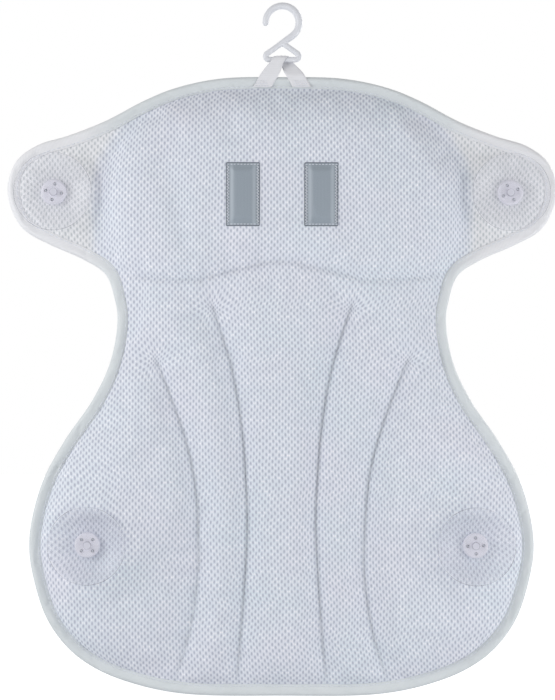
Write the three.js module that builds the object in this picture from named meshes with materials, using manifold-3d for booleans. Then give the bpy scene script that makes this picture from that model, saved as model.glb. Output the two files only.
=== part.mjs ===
// A bath pillow hanging by its hook, in millimetres with +Z up.
// The suction side faces -Y and the bather's side faces +Y.
// The origin is the inner crown of the hook, where a rail or a peg bears.

import * as THREE from 'three';
import { mergeVertices } from 'three/addons/utils/BufferGeometryUtils.js';
import Module from 'manifold-3d';

const wasm = await Module();
wasm.setup();

// Clearances

const layerGap = 0.3; // between faces that lie on each other
const turningGap = 0.4; // round a piece that turns in another

// Pad

const padWidth = 424; // from ear to ear, over the binding
const padHeight = 478;
const coverThickness = 2.4; // of each mesh cover
const headBackCrown = 16; // from the middle plane to the cover
const headFrontCrown = 26;
const bodyBackCrown = 12;
const bodyFrontCrown = 14;
const earCrown = 1;
const edgeRoll = 42; // from the hem to the full height of the padding
const seamRoll = 26; // from a channel seam to the full height
const creaseRoll = 24; // from the crease under the head to the full height
const bolsterRoll = 26; // from the side seams of the head to the full height

// Binding

const bindingWidth = 10;
const bindingThickness = 0.7;
const hemMargin = 2; // flat cover left between the binding and the padding

// Facets of the soft pieces, as shares of the pad's height

const facetShares = {
	rim: 0.0335, // along the outline
	row: 0.04, // along the seams and the crease
	spread: 0.0146, // from a seam to the row of facets beside it
	net: 0.0628, // over the open padding
};
const seatFacets = 8; // round each sewn plate
const crowdShare = 0.6; // of a pitch, the least room between the open net and the rows
const swayShare = 1e-4; // of a pitch, parts points that lie on one circle

// Hook

const hookBore = 20.3; // the rail that the hook takes
const hookRod = 5.5;
const tipRod = 5;
const eyeRod = 4.4; // of the frame that the loop hangs on
const hookDrop = 38.8; // from the seat to the middle of the eye's bar
const eyeCorner = 2.6; // radius of the eye's lower corners, at the middle of the rod
const eyeFall = THREE.MathUtils.degToRad(35); // slope of the eye's two upper sides
const tipAngle = THREE.MathUtils.degToRad(186);
const neckSwellShare = 1.08; // of the eye's rod, where the stem runs into it
const tipStations = [[0.5, 0.05], [0.42, 0.55], [0.25, 0.85]]; // of the rounded tip, beyond its rod and across it
const bendSteps = 22;
const cornerSteps = 7;
const rodSides = 12;

// Hanging loop

const ribbonWidth = 13; // measured along the bar
const ribbonThickness = 0.6;
const loopDrop = 13.5; // from the middle of the bar to the top of the pad
const footLength = 8.2; // of each end sewn to the binding
const footSpread = 31; // between the middles of the two ends
const footBend = 1.2; // of free ribbon above the pad before it bends
const wrapSteps = 18;

// Suction cups and the plates that hold them

const cupDiameter = 60;
const cupHeight = 11; // from the shoulder to the rim
const cupWall = 3; // at the middle
const rimWall = 1; // at the edge
const lipWidth = 4.5; // flat ring that meets the tub
const shoulderDiameter = 17;
const neckDiameter = 4.8;
const knobDiameter = 6.8;
const knobHeight = 2.2;
const plateDiameter = 19.6;
const plateBack = 1; // under the socket
const plateFront = 1.2; // over the knob
const plateChamfer = 0.8;
const stitchHole = 2;
const stitchCircle = 12.4;
const stitchHoles = 4;
const tuftDepth = 1.5; // how far sewing pulls the hip plates into the padding
const seatShare = 1.35; // of the plate, the level padding under it
const bellPower = 1.35; // of the cup's outside, straight at 1
const hollowPower = 1.8; // of the cup's inside
const bellStations = [0, 0.25, 0.5, 0.75, 1];
const hollowStations = [1, 0.8, 0.6, 0.4, 0.2];
const cupSides = 36;
const plateSides = 28;
const holeSides = 8;

// Fastening patches

const patchWidth = 26;
const patchHeight = 49;
const patchThickness = 1.6;
const patchCorner = 2;
const patchSpacing = 60; // between the middles of the two patches
const patchDrop = 91.6; // from the top of the pad to the middle of a patch
const patchMargin = 1.5; // of level cover round each patch

// The right half of the outline, from the bottom to the top, as shares of half the width and of the height
const outlineShares = [
	[0, -1], [0.356, -0.997], [0.538, -0.981], [0.675, -0.957], [0.774, -0.925], [0.854, -0.877],
	[0.901, -0.816], [0.92, -0.763], [0.91, -0.715], [0.868, -0.651], [0.788, -0.586], [0.689, -0.522],
	[0.623, -0.458], [0.599, -0.393], [0.609, -0.36], [0.642, -0.32], [0.722, -0.296], [0.844, -0.272],
	[0.939, -0.248], [0.986, -0.215], [1, -0.176], [0.967, -0.136], [0.892, -0.111], [0.778, -0.095],
	[0.642, -0.071], [0.505, -0.039], [0.396, -0.019], [0.231, -0.003],
];
// Sewn lines on the right half, from the top down, as shares of the same sizes
const innerSeamShares = [
	[0.25, -0.374], [0.182, -0.473], [0.146, -0.565], [0.131, -0.644], [0.125, -0.724], [0.134, -0.816],
	[0.149, -0.904], [0.164, -0.98],
];
const outerSeamShares = [
	[0.457, -0.458], [0.4, -0.522], [0.351, -0.586], [0.318, -0.651], [0.303, -0.732], [0.304, -0.816],
	[0.335, -0.9], [0.392, -0.98],
];
const bolsterShares = [[0.52, -0.06], [0.599, -0.111], [0.651, -0.155], [0.66, -0.203], [0.653, -0.3]];
// The crease under the head, from its middle to the right
const creaseShares = [[0, -0.299], [0.151, -0.311], [0.264, -0.324], [0.33, -0.328], [0.509, -0.324], [0.66, -0.3]];
const creaseDepthShare = 0.4; // of the height, lost along the crease
const swellPower = 0.75; // below 1 the padding rises steeply from its seams
const earCupShares = [0.83, -0.187];
const hipCupShares = [0.703, -0.755];

// Sizes that follow

const padHalf = padWidth / 2;
const rimPitch = facetShares.rim * padHeight;
const rowPitch = facetShares.row * padHeight;
const rowSpread = facetShares.spread * padHeight;
const netPitch = facetShares.net * padHeight;
const seamHalf = layerGap / 2;
const bindingInside = seamHalf + coverThickness + layerGap;
const bindingHalf = bindingInside + bindingThickness;
const coverInset = bindingThickness + layerGap;
const hemInset = bindingWidth + hemMargin;
const eyeRadius = eyeRod / 2;
const hookRadius = (hookBore + hookRod) / 2;
const plateThickness = plateBack + plateFront + knobHeight + 2 * layerGap;
const shoulderRadius = shoulderDiameter / 2;
const cupRadius = cupDiameter / 2;
const knobBevel = knobHeight / 4;
const materials = {
	mesh: fabric('#ccd5e1', 0.9),
	filling: fabric('#f1f1ec', 1),
	binding: fabric('#d3d9de', 0.8),
	ribbon: fabric('#dedee1', 0.6),
	patch: fabric('#939ca5', 0.45),
	hook: plastic('#dee0e4', 0.35),
	plate: plastic('#e9eaee', 0.4),
	cup: new THREE.MeshStandardMaterial({ color: '#e6eaf0', roughness: 0.12, transparent: true, opacity: 0.4 }),
};

function fabric(color, roughness) {
	return new THREE.MeshStandardMaterial({ color, roughness, metalness: 0 });
}

function plastic(color, roughness) {
	return new THREE.MeshStandardMaterial({ color, roughness, metalness: 0 });
}

// Solids

// A closed body from its corners and its triangles, with its faces turned outwards.
function solid(corners, faces) {
	const volume = faces.reduce((sum, [a, b, c]) => {
		const normal = new THREE.Vector3().crossVectors(corners[b], corners[c]);
		return sum + corners[a].dot(normal);
	}, 0);
	const outward = volume > 0 ? faces : faces.map(([a, b, c]) => [a, c, b]);
	const geometry = new THREE.BufferGeometry();
	geometry.setAttribute('position', new THREE.Float32BufferAttribute(corners.flatMap((p) => p.toArray()), 3));
	geometry.setIndex(outward.flat());
	return geometry;
}

// A skin through rings of equal count, closed on itself or capped at both ends.
function skin(rings, closed) {
	const count = rings[0].length;
	const faces = [];
	const steps = closed ? rings.length : rings.length - 1;
	for (let i = 0; i < steps; i++) {
		const here = i * count;
		const there = ((i + 1) % rings.length) * count;
		for (let j = 0; j < count; j++) {
			const k = (j + 1) % count;
			faces.push([here + j, here + k, there + k]);
			faces.push([here + j, there + k, there + j]);
		}
	}
	if (!closed) {
		const last = (rings.length - 1) * count;
		for (let j = 1; j < count - 1; j++) {
			faces.push([0, j + 1, j]);
			faces.push([last, last + j, last + j + 1]);
		}
	}
	return solid(rings.flat(), faces);
}

// A round rod along a path in the XZ plane, with a radius at each point.
function rod(path, radii, sides) {
	const rings = path.map((point, i) => {
		const before = path[Math.max(i - 1, 0)];
		const after = path[Math.min(i + 1, path.length - 1)];
		const along = after.clone().sub(before).normalize();
		return Array.from({ length: sides }, (_, j) => {
			const turn = (2 * Math.PI * j) / sides;
			const across = radii[i] * Math.cos(turn);
			return new THREE.Vector3(
				point.x + along.y * across,
				radii[i] * Math.sin(turn),
				point.y - along.x * across,
			);
		});
	});
	return skin(rings, false);
}

function toManifold(geometry) {
	const bare = geometry.clone();
	bare.deleteAttribute('normal');
	bare.deleteAttribute('uv');
	const merged = mergeVertices(bare);
	return new wasm.Manifold(new wasm.Mesh({
		numProp: 3,
		vertProperties: new Float32Array(merged.getAttribute('position').array),
		triVerts: new Uint32Array(merged.getIndex().array),
	}));
}

function toGeometry(manifold) {
	const mesh = manifold.getMesh();
	const geometry = new THREE.BufferGeometry();
	geometry.setAttribute('position', new THREE.BufferAttribute(new Float32Array(mesh.vertProperties), 3));
	geometry.setIndex(new THREE.BufferAttribute(new Uint32Array(mesh.triVerts), 1));
	return geometry;
}

// Lines in the plane of the pad: x across, y up, from the middle of its top edge

function placed([across, up]) {
	return new THREE.Vector2(across * padHalf, up * padHeight);
}

function mirrored(points) {
	return points.map((p) => new THREE.Vector2(-p.x, p.y));
}

function smoothLine(points, pitch) {
	const curve = new THREE.SplineCurve(points);
	return curve.getSpacedPoints(Math.round(curve.getLength() / pitch));
}

function closedLine(points, pitch) {
	const curve = new THREE.CatmullRomCurve3(points.map((p) => new THREE.Vector3(p.x, p.y, 0)), true);
	const spaced = curve.getSpacedPoints(2 * Math.round(curve.getLength() / pitch / 2));
	return spaced.slice(0, -1).map((p) => new THREE.Vector2(p.x, p.y));
}

// Each point of a line moved to its left by a distance, with the corners kept sharp.
function shifted(line, distance, closed) {
	return line.map((point, i) => {
		const last = line.length - 1;
		const before = line[closed ? (i + last) % line.length : Math.max(i - 1, 0)];
		const after = line[closed ? (i + 1) % line.length : Math.min(i + 1, last)];
		const into = point.clone().sub(before).normalize();
		const out = after.clone().sub(point).normalize();
		const along = into.clone().add(out).normalize();
		const left = new THREE.Vector2(-along.y, along.x);
		const run = out.lengthSq() > 0 ? out : into;
		const stretch = run.dot(along);
		return point.clone().addScaledVector(left, distance / stretch);
	});
}

function distanceToLine(point, line, closed) {
	let nearest = Infinity;
	const count = closed ? line.length : line.length - 1;
	for (let i = 0; i < count; i++) {
		const start = line[i];
		const end = line[(i + 1) % line.length];
		const run = end.clone().sub(start);
		const share = THREE.MathUtils.clamp(point.clone().sub(start).dot(run) / run.lengthSq(), 0, 1);
		nearest = Math.min(nearest, point.distanceTo(start.clone().addScaledVector(run, share)));
	}
	return nearest;
}

function isInside(point, ring) {
	let inside = false;
	ring.forEach((a, i) => {
		const b = ring[(i + 1) % ring.length];
		const spans = (a.y > point.y) !== (b.y > point.y);
		if (spans && point.x < a.x + ((b.x - a.x) * (point.y - a.y)) / (b.y - a.y)) {
			inside = !inside;
		}
	});
	return inside;
}

// The value on one axis of a line at a value on the other, level past its ends.
function readLine(line, from, to, at) {
	const sorted = [...line].sort((a, b) => a[from] - b[from]);
	if (at <= sorted[0][from]) {
		return sorted[0][to];
	}
	const next = sorted.findIndex((p) => p[from] > at);
	if (next < 0) {
		return sorted[sorted.length - 1][to];
	}
	const a = sorted[next - 1];
	const b = sorted[next];
	return a[to] + ((b[to] - a[to]) * (at - a[from])) / (b[from] - a[from]);
}

const rightOutline = outlineShares.map(placed);
const outline = closedLine(
	[...rightOutline, new THREE.Vector2(0, 0), ...mirrored(rightOutline.slice(1)).reverse()],
	rimPitch,
);
const coverEdge = shifted(outline, coverInset, true);
const hem = shifted(outline, hemInset, true);
const innerSeam = smoothLine(innerSeamShares.map(placed), rowPitch);
const outerSeam = smoothLine(outerSeamShares.map(placed), rowPitch);
const bolsterSide = smoothLine(bolsterShares.map(placed), rowPitch);
const rightCrease = creaseShares.map(placed);
const crease = smoothLine([...mirrored(rightCrease.slice(1)).reverse(), ...rightCrease], rowPitch);
const seams = [innerSeam, outerSeam, mirrored(innerSeam), mirrored(outerSeam)];
const bolsterSides = [bolsterSide, mirrored(bolsterSide)];
const cupPlaces = {
	left_ear: placed(earCupShares).multiply(new THREE.Vector2(-1, 1)),
	right_ear: placed(earCupShares),
	left_hip: placed(hipCupShares).multiply(new THREE.Vector2(-1, 1)),
	right_hip: placed(hipCupShares),
};
const patchPlaces = {
	left: new THREE.Vector2(-patchSpacing / 2, -patchDrop),
	right: new THREE.Vector2(patchSpacing / 2, -patchDrop),
};

// The swell of the padding

// From 0 at a seam to 1 where the padding is full, steep at first.
function pillow(distance, roll) {
	const share = THREE.MathUtils.clamp(distance / roll, 0, 1);
	return Math.pow(Math.sin((share * Math.PI) / 2), swellPower);
}

function isEar(point) {
	const neck = bolsterSide[bolsterSide.length - 1].y;
	return point.y > neck && Math.abs(point.x) > readLine(bolsterSide, 'y', 'x', point.y);
}

function headShare(point) {
	const above = point.y - readLine(crease, 'x', 'y', point.x);
	return THREE.MathUtils.smoothstep(above, -creaseRoll, creaseRoll);
}

function swell(point, headCrown, bodyCrown) {
	const crown = isEar(point) ? earCrown : THREE.MathUtils.lerp(bodyCrown, headCrown, headShare(point));
	const fromHem = isInside(point, hem) ? distanceToLine(point, hem, true) : 0;
	const fromSeam = Math.min(...seams.map((line) => distanceToLine(point, line, false)));
	const fromBolster = Math.min(...bolsterSides.map((line) => distanceToLine(point, line, false)));
	const fromCrease = distanceToLine(point, crease, false);
	const kept = 1 - creaseDepthShare * (1 - pillow(fromCrease, creaseRoll));
	const full = pillow(fromHem, edgeRoll) * pillow(fromSeam, seamRoll) * pillow(fromBolster, bolsterRoll);
	return seamHalf + crown * full * kept;
}

// Where a cup's plate is sewn on, the padding is level under the plate.
const seatRadius = (plateDiameter / 2) * seatShare;

function backHeight(point) {
	const height = swell(point, headBackCrown, bodyBackCrown);
	return Object.entries(cupPlaces).reduce((level, [name, place]) => {
		const seat = plateSeat(name);
		const share = THREE.MathUtils.smoothstep(point.distanceTo(place), seatRadius + layerGap, 2 * seatRadius);
		return THREE.MathUtils.lerp(seat, level, share);
	}, height);
}

function plateSeat(name) {
	const tuft = name.endsWith('hip') ? tuftDepth : 0;
	return Math.max(swell(cupPlaces[name], headBackCrown, bodyBackCrown) - tuft, seamHalf);
}

function frontHeight(point) {
	return swell(point, headFrontCrown, bodyFrontCrown);
}

// The net of facets that the soft pieces share

function netPoints() {
	const points = [...coverEdge];
	const onCrease = new Set();
	const add = (point, room) => {
		const fits = isInside(point, hem) && points.every((other) => other.distanceTo(point) > room);
		if (fits) {
			points.push(point);
		}
		return fits;
	};
	hem.forEach((point) => points.push(point));
	Object.values(cupPlaces).forEach((place) => {
		points.push(place);
		for (let i = 0; i < seatFacets; i++) {
			const turn = (2 * Math.PI * (i + 0.5)) / seatFacets;
			points.push(new THREE.Vector2(Math.cos(turn), Math.sin(turn)).multiplyScalar(seatRadius).add(place));
		}
	});
	Object.values(patchPlaces).forEach((place) => {
		for (const across of [-1, 0, 1]) {
			for (const up of [-1, 0, 1]) {
				const reach = new THREE.Vector2(patchWidth / 2 + patchMargin, patchHeight / 2 + patchMargin);
				points.push(reach.multiply(new THREE.Vector2(across, up)).add(place));
			}
		}
	});
	const rows = [
		...seams.flatMap((line) => [line, shifted(line, rowSpread, false), shifted(line, -rowSpread, false)]),
		...bolsterSides.flatMap((line) => [line, shifted(line, rowSpread, false), shifted(line, -rowSpread, false)]),
	];
	crease.forEach((point) => {
		if (add(point, rowSpread)) {
			onCrease.add(points.length - 1);
		}
	});
	rows.flat().forEach((point) => add(point, rowSpread * crowdShare));
	[2 * rowSpread, -2 * rowSpread].forEach((distance) => {
		shifted(crease, distance, false).forEach((point) => add(point, rowSpread));
	});
	outerSeam.forEach((point) => {
		const middle = (point.x + readLine(innerSeam, 'y', 'x', point.y)) / 2;
		[-middle, middle].forEach((x) => add(new THREE.Vector2(x, point.y), rowPitch / 2));
	});
	shifted(outline, hemInset + 2 * rowSpread, true).forEach((point) => add(point, rowPitch / 2));
	const rowStep = (netPitch * Math.sqrt(3)) / 2;
	for (let row = 0; row * rowStep < padHeight; row++) {
		const start = (row % 2) * netPitch / 2;
		for (let x = start; x < padHalf; x += netPitch) {
			for (const side of x > 0 ? [-1, 1] : [1]) {
				add(new THREE.Vector2(side * x, -row * rowStep), netPitch * crowdShare);
			}
		}
	}
	return { points, onCrease };
}

// Delaunay's triangles over the points, counter-clockwise, as three indices each.
function triangulate(points) {
	const sway = netPitch * swayShare;
	const reach = 20 * (padWidth + padHeight);
	const all = points.map((p, i) => new THREE.Vector2(p.x + sway * Math.sin(12.9 * i), p.y + sway * Math.cos(7.7 * i)));
	const count = points.length;
	all.push(new THREE.Vector2(-reach, -reach), new THREE.Vector2(reach, -reach), new THREE.Vector2(0, reach));
	const cell = (a, b, c) => {
		const pa = all[a];
		const pb = all[b].clone().sub(pa);
		const pc = all[c].clone().sub(pa);
		const double = 2 * pb.cross(pc);
		const centre = new THREE.Vector2(
			pc.y * pb.lengthSq() - pb.y * pc.lengthSq(),
			pb.x * pc.lengthSq() - pc.x * pb.lengthSq(),
		).divideScalar(double);
		return { corners: [a, b, c], radius: centre.length(), centre: centre.add(pa) };
	};
	let cells = [cell(count, count + 1, count + 2)];
	for (let i = 0; i < count; i++) {
		const edges = new Map();
		cells = cells.filter((old) => {
			if (old.centre.distanceTo(all[i]) >= old.radius) {
				return true;
			}
			const [a, b, c] = old.corners;
			[[a, b], [b, c], [c, a]].forEach(([from, to]) => edges.set(`${from},${to}`, [from, to]));
			return false;
		});
		edges.forEach(([from, to]) => {
			if (!edges.has(`${to},${from}`)) {
				cells.push(cell(from, to, i));
			}
		});
	}
	return cells.map((kept) => kept.corners).filter((corners) => Math.max(...corners) < count);
}

const { points: net, onCrease } = netPoints();
const middleOf = (corners) => corners.reduce((sum, i) => sum.add(net[i]), new THREE.Vector2()).divideScalar(3);
const cells = triangulate(net).filter((corners) => isInside(middleOf(corners), coverEdge));
const back = net.map(backHeight);
const front = net.map(frontHeight);

// A slab over some cells, between two heights given at each corner.
function slab(someCells, lowAt, highAt, placeAt = (i) => net[i]) {
	const used = [...new Set(someCells.flat())];
	const low = new Map(used.map((corner, i) => [corner, 2 * i]));
	const corners = used.flatMap((i) => [
		new THREE.Vector3(placeAt(i).x, lowAt(i), placeAt(i).y),
		new THREE.Vector3(placeAt(i).x, highAt(i), placeAt(i).y),
	]);
	const edges = new Set(someCells.flatMap(([a, b, c]) => [`${a},${b}`, `${b},${c}`, `${c},${a}`]));
	const faces = [];
	someCells.forEach(([a, b, c]) => {
		faces.push([low.get(a), low.get(b), low.get(c)]);
		faces.push([low.get(a) + 1, low.get(c) + 1, low.get(b) + 1]);
		[[a, b], [b, c], [c, a]].filter(([from, to]) => !edges.has(`${to},${from}`)).forEach(([from, to]) => {
			faces.push([low.get(from), low.get(from) + 1, low.get(to) + 1]);
			faces.push([low.get(from), low.get(to) + 1, low.get(to)]);
		});
	});
	return solid(corners, faces);
}

// Leaves out the cells at a corner where two parts of a filling meet only at that corner.
function withoutPinches(someCells) {
	const edges = new Set(someCells.flatMap(([a, b, c]) => [`${a},${b}`, `${b},${c}`, `${c},${a}`]));
	const rims = new Map();
	edges.forEach((edge) => {
		const [from, to] = edge.split(',').map(Number);
		if (!edges.has(`${to},${from}`)) {
			rims.set(from, (rims.get(from) ?? 0) + 1);
		}
	});
	const kept = someCells.filter((corners) => corners.every((i) => (rims.get(i) ?? 0) < 2));
	return kept.length === someCells.length ? kept : withoutPinches(kept);
}

// The pocket that a point of the pad lies in: the head, the middle channels or a hip.
function pocketOf(point) {
	if (point.y > readLine(crease, 'x', 'y', point.x)) {
		return isEar(point) ? 'ear' : 'head';
	}
	if (point.y > outerSeam[0].y || Math.abs(point.x) < readLine(outerSeam, 'y', 'x', point.y)) {
		return 'channel';
	}
	return point.x < 0 ? 'left_hip' : 'right_hip';
}

// Wadding fills a pocket wherever the covers stand apart.
function filling(pocket) {
	const least = 4 * layerGap;
	const someCells = cells.filter((corners) => {
		const isFilled = corners.every((i) => Math.min(back[i], front[i]) > least);
		return isFilled && pocketOf(middleOf(corners)) === pocket;
	});
	const part = pocket === 'head' ? seamHalf : -seamHalf;
	const placeAt = (i) => (onCrease.has(i) ? new THREE.Vector2(net[i].x, net[i].y + part) : net[i]);
	return slab(withoutPinches(someCells), (i) => layerGap - back[i], (i) => front[i] - layerGap, placeAt);
}

// The tape that binds the edge: a U round both covers, swept along the outline.
function bindingTape() {
	const bevel = bindingThickness;
	const section = [
		[bindingWidth, -bindingHalf], [bevel, -bindingHalf], [0, bevel - bindingHalf], [0, bindingHalf - bevel],
		[bevel, bindingHalf], [bindingWidth, bindingHalf], [bindingWidth, bindingInside],
		[bindingThickness, bindingInside], [bindingThickness, -bindingInside], [bindingWidth, -bindingInside],
	];
	const lines = section.map(([inset]) => shifted(outline, inset, true));
	const rings = outline.map((_, i) => section.map(([, depth], j) => {
		const point = lines[j][i];
		return new THREE.Vector3(point.x, depth, point.y);
	}));
	return skin(rings, true);
}

// Hook

// The points of an arc in the XZ plane, from one angle to another.
function arc(centre, radius, from, to, steps) {
	return Array.from({ length: steps + 1 }, (_, i) => {
		const turn = THREE.MathUtils.lerp(from, to, i / steps);
		return new THREE.Vector2(centre.x + radius * Math.cos(turn), centre.y + radius * Math.sin(turn));
	});
}

// A moulded hook: an open arc whose end runs down into the triangular eye that carries the loop.
function hangingHook() {
	const crown = new THREE.Vector2(0, -hookBore / 2);
	const leaving = eyeFall - Math.PI / 2;
	const bend = arc(crown, hookRadius, tipAngle, leaving, bendSteps);
	const downLeft = new THREE.Vector2(-Math.cos(eyeFall), -Math.sin(eyeFall));
	const bendEnd = bend[bend.length - 1];
	const cornerHeight = eyeCorner - hookDrop;
	const fallen = Math.cos(eyeFall) * (cornerHeight - bendEnd.y);
	const cornerOut = (-eyeCorner - Math.sin(eyeFall) * bendEnd.x - fallen) / Math.sin(eyeFall);
	const apexRise = (eyeCorner + Math.sin(eyeFall) * cornerOut) / Math.cos(eyeFall);
	const apex = new THREE.Vector2(0, cornerHeight + apexRise);
	const overlap = 2 * eyeRadius;
	const neckRadius = eyeRadius * neckSwellShare;
	const bendRadii = bend.map((_, i) => {
		const share = Math.min(1, (2 * i) / (bend.length - 1));
		return THREE.MathUtils.lerp(tipRod, hookRod, share) / 2;
	});
	const tip = tipStations.map(([, share]) => (share * tipRod) / 2);
	const tipPoints = tipStations.map(([share]) => {
		const beyond = tipAngle + (share * tipRod) / hookRadius;
		return new THREE.Vector2(crown.x + hookRadius * Math.cos(beyond), crown.y + hookRadius * Math.sin(beyond));
	});
	const neck = [apex.clone(), apex.clone().addScaledVector(downLeft, overlap + eyeRadius / 4)];
	const nose = apex.clone().addScaledVector(downLeft, overlap + eyeRadius);
	const stem = rod(
		[...tipPoints, ...bend, ...neck, nose],
		[...tip, ...bendRadii, neckRadius, neckRadius, eyeRadius / 2],
		rodSides,
	);
	const upperRight = Math.PI / 2 - eyeFall;
	const right = arc(new THREE.Vector2(cornerOut, cornerHeight), eyeCorner, upperRight, -Math.PI / 2, cornerSteps);
	const left = arc(new THREE.Vector2(-cornerOut, cornerHeight), eyeCorner, -Math.PI / 2, -Math.PI - upperRight, cornerSteps);
	const legEnd = apex.clone().addScaledVector(downLeft, overlap);
	const eyePath = [apex, ...right, ...left, legEnd];
	const eye = rod(eyePath, eyePath.map(() => eyeRadius), rodSides);
	return toGeometry(toManifold(stem).add(toManifold(eye)));
}

// The ribbon that hangs the pad: sewn to the binding, up in front of the bar, over it and down behind.
function hangingLoop() {
	const wrapRadius = eyeRadius + turningGap;
	const bar = new THREE.Vector2(0, loopDrop);
	const frontFace = -(bindingHalf + layerGap);
	const firstBend = new THREE.Vector2(frontFace, footBend);
	const secondBend = new THREE.Vector2(frontFace - ribbonThickness, footBend);
	const touch = (bend, side) => {
		const away = bend.clone().sub(bar);
		return away.angle() - 2 * Math.PI + side * Math.acos(wrapRadius / away.length());
	};
	const wrap = arc(bar, wrapRadius, touch(firstBend, -1) + 2 * Math.PI, touch(secondBend, 1), wrapSteps);
	const path = [
		new THREE.Vector2(firstBend.x, -footLength),
		firstBend,
		...wrap,
		secondBend,
		new THREE.Vector2(secondBend.x, -footLength),
	];
	const outer = shifted(path, ribbonThickness, false);
	const lengths = path.map((_, i) => path.slice(1, i + 1).reduce((sum, p, j) => sum + p.distanceTo(path[j]), 0));
	const whole = lengths[lengths.length - 1];
	const rings = path.map((inner, i) => {
		const middle = footSpread * (lengths[i] / whole - 1 / 2);
		const left = middle - ribbonWidth / 2;
		const right = middle + ribbonWidth / 2;
		return [
			new THREE.Vector3(left, inner.x, inner.y),
			new THREE.Vector3(right, inner.x, inner.y),
			new THREE.Vector3(right, outer[i].x, outer[i].y),
			new THREE.Vector3(left, outer[i].x, outer[i].y),
		];
	});
	return skin(rings, false);
}

// Cups and plates, turned about Y with their backs at zero and their faces towards +Y

function lathe(profile, sides) {
	return new THREE.LatheGeometry(profile.map(([across, up]) => new THREE.Vector2(across, up)), sides);
}

function suctionCup() {
	const knobBack = layerGap + plateBack + layerGap;
	const knobFront = knobBack + knobHeight;
	const shoulder = layerGap + plateThickness + turningGap;
	const rim = shoulder + cupHeight;
	const lipRadius = cupRadius - lipWidth;
	const hollow = shoulder + cupWall;
	const knobRadius = knobDiameter / 2;
	const outside = bellStations.map((share) => [
		THREE.MathUtils.lerp(shoulderRadius, cupRadius, share),
		THREE.MathUtils.lerp(shoulder, rim - rimWall, Math.pow(share, bellPower)),
	]);
	const inside = hollowStations.map((share) => [
		lipRadius * share,
		THREE.MathUtils.lerp(hollow, rim, Math.pow(share, hollowPower)),
	]);
	return lathe([
		[0, knobBack],
		[knobRadius - knobBevel, knobBack],
		[knobRadius, knobBack + knobBevel],
		[knobRadius, knobFront],
		[neckDiameter / 2, knobFront],
		[neckDiameter / 2, shoulder],
		...outside,
		[cupRadius, rim],
		...inside,
		[0, hollow],
	], cupSides);
}

function sewnPlate() {
	const radius = plateDiameter / 2;
	const face = layerGap + plateThickness;
	const socketBack = layerGap + plateBack;
	const socketFront = face - plateFront;
	const mouth = neckDiameter / 2 + turningGap;
	const socket = knobDiameter / 2 + turningGap;
	const disc = lathe([
		[0, layerGap],
		[radius, layerGap],
		[radius, face - plateChamfer],
		[radius - plateChamfer, face],
		[mouth, face],
		[mouth, socketFront],
		[socket, socketFront],
		[socket, socketBack],
		[0, socketBack],
	], plateSides);
	let plate = toManifold(disc);
	for (let i = 0; i < stitchHoles; i++) {
		const turn = (2 * Math.PI * (i + 0.5)) / stitchHoles;
		const hole = new THREE.CylinderGeometry(stitchHole / 2, stitchHole / 2, 3 * plateThickness, holeSides);
		hole.translate((stitchCircle / 2) * Math.cos(turn), 0, (stitchCircle / 2) * Math.sin(turn));
		plate = plate.subtract(toManifold(hole));
	}
	return toGeometry(plate);
}

function fasteningPatch() {
	const across = patchWidth / 2 - patchCorner;
	const up = patchHeight / 2 - patchCorner;
	const shape = new THREE.Shape();
	shape.absarc(across, up, patchCorner, 0, Math.PI / 2);
	shape.absarc(-across, up, patchCorner, Math.PI / 2, Math.PI);
	shape.absarc(-across, -up, patchCorner, Math.PI, 1.5 * Math.PI);
	shape.absarc(across, -up, patchCorner, 1.5 * Math.PI, 2 * Math.PI);
	return new THREE.ExtrudeGeometry(shape, { depth: patchThickness, bevelEnabled: false, curveSegments: 4 });
}

// Assembly

function piece(name, geometry, material) {
	const mesh = new THREE.Mesh(geometry, material);
	mesh.name = name;
	return mesh;
}

const pillowGroup = new THREE.Group();
pillowGroup.position.z = -(hookDrop + loopDrop);
pillowGroup.add(
	piece('back_cover', slab(cells, (i) => -back[i] - coverThickness, (i) => -back[i]), materials.mesh),
	piece('front_cover', slab(cells, (i) => front[i], (i) => front[i] + coverThickness), materials.mesh),
	piece('edge_binding', bindingTape(), materials.binding),
	piece('hanging_loop', hangingLoop(), materials.ribbon),
);

for (const pocket of ['head', 'channel', 'left_hip', 'right_hip']) {
	pillowGroup.add(piece(`${pocket}_filling`, filling(pocket), materials.filling));
}

for (const [name, place] of Object.entries(cupPlaces)) {
	const seat = new THREE.Group();
	seat.position.set(place.x, -(plateSeat(name) + coverThickness), place.y);
	seat.rotation.x = Math.PI;
	seat.add(
		piece(`${name}_cup`, suctionCup(), materials.cup),
		piece(`${name}_plate`, sewnPlate(), materials.plate),
	);
	pillowGroup.add(seat);
}

for (const [name, place] of Object.entries(patchPlaces)) {
	const patch = piece(`${name}_fastening_patch`, fasteningPatch(), materials.patch);
	patch.position.set(place.x, -(backHeight(place) + coverThickness + layerGap), place.y);
	patch.rotation.x = Math.PI / 2;
	pillowGroup.add(patch);
}

const group = new THREE.Group();
group.add(piece('hanging_hook', hangingHook(), materials.hook), pillowGroup);

export default group;
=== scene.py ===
import math

import bmesh
import bpy
import numpy as np
from mathutils import Matrix, Vector, noise
from mathutils.bvhtree import BVHTree
from mathutils.geometry import delaunay_2d_cdt


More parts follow.
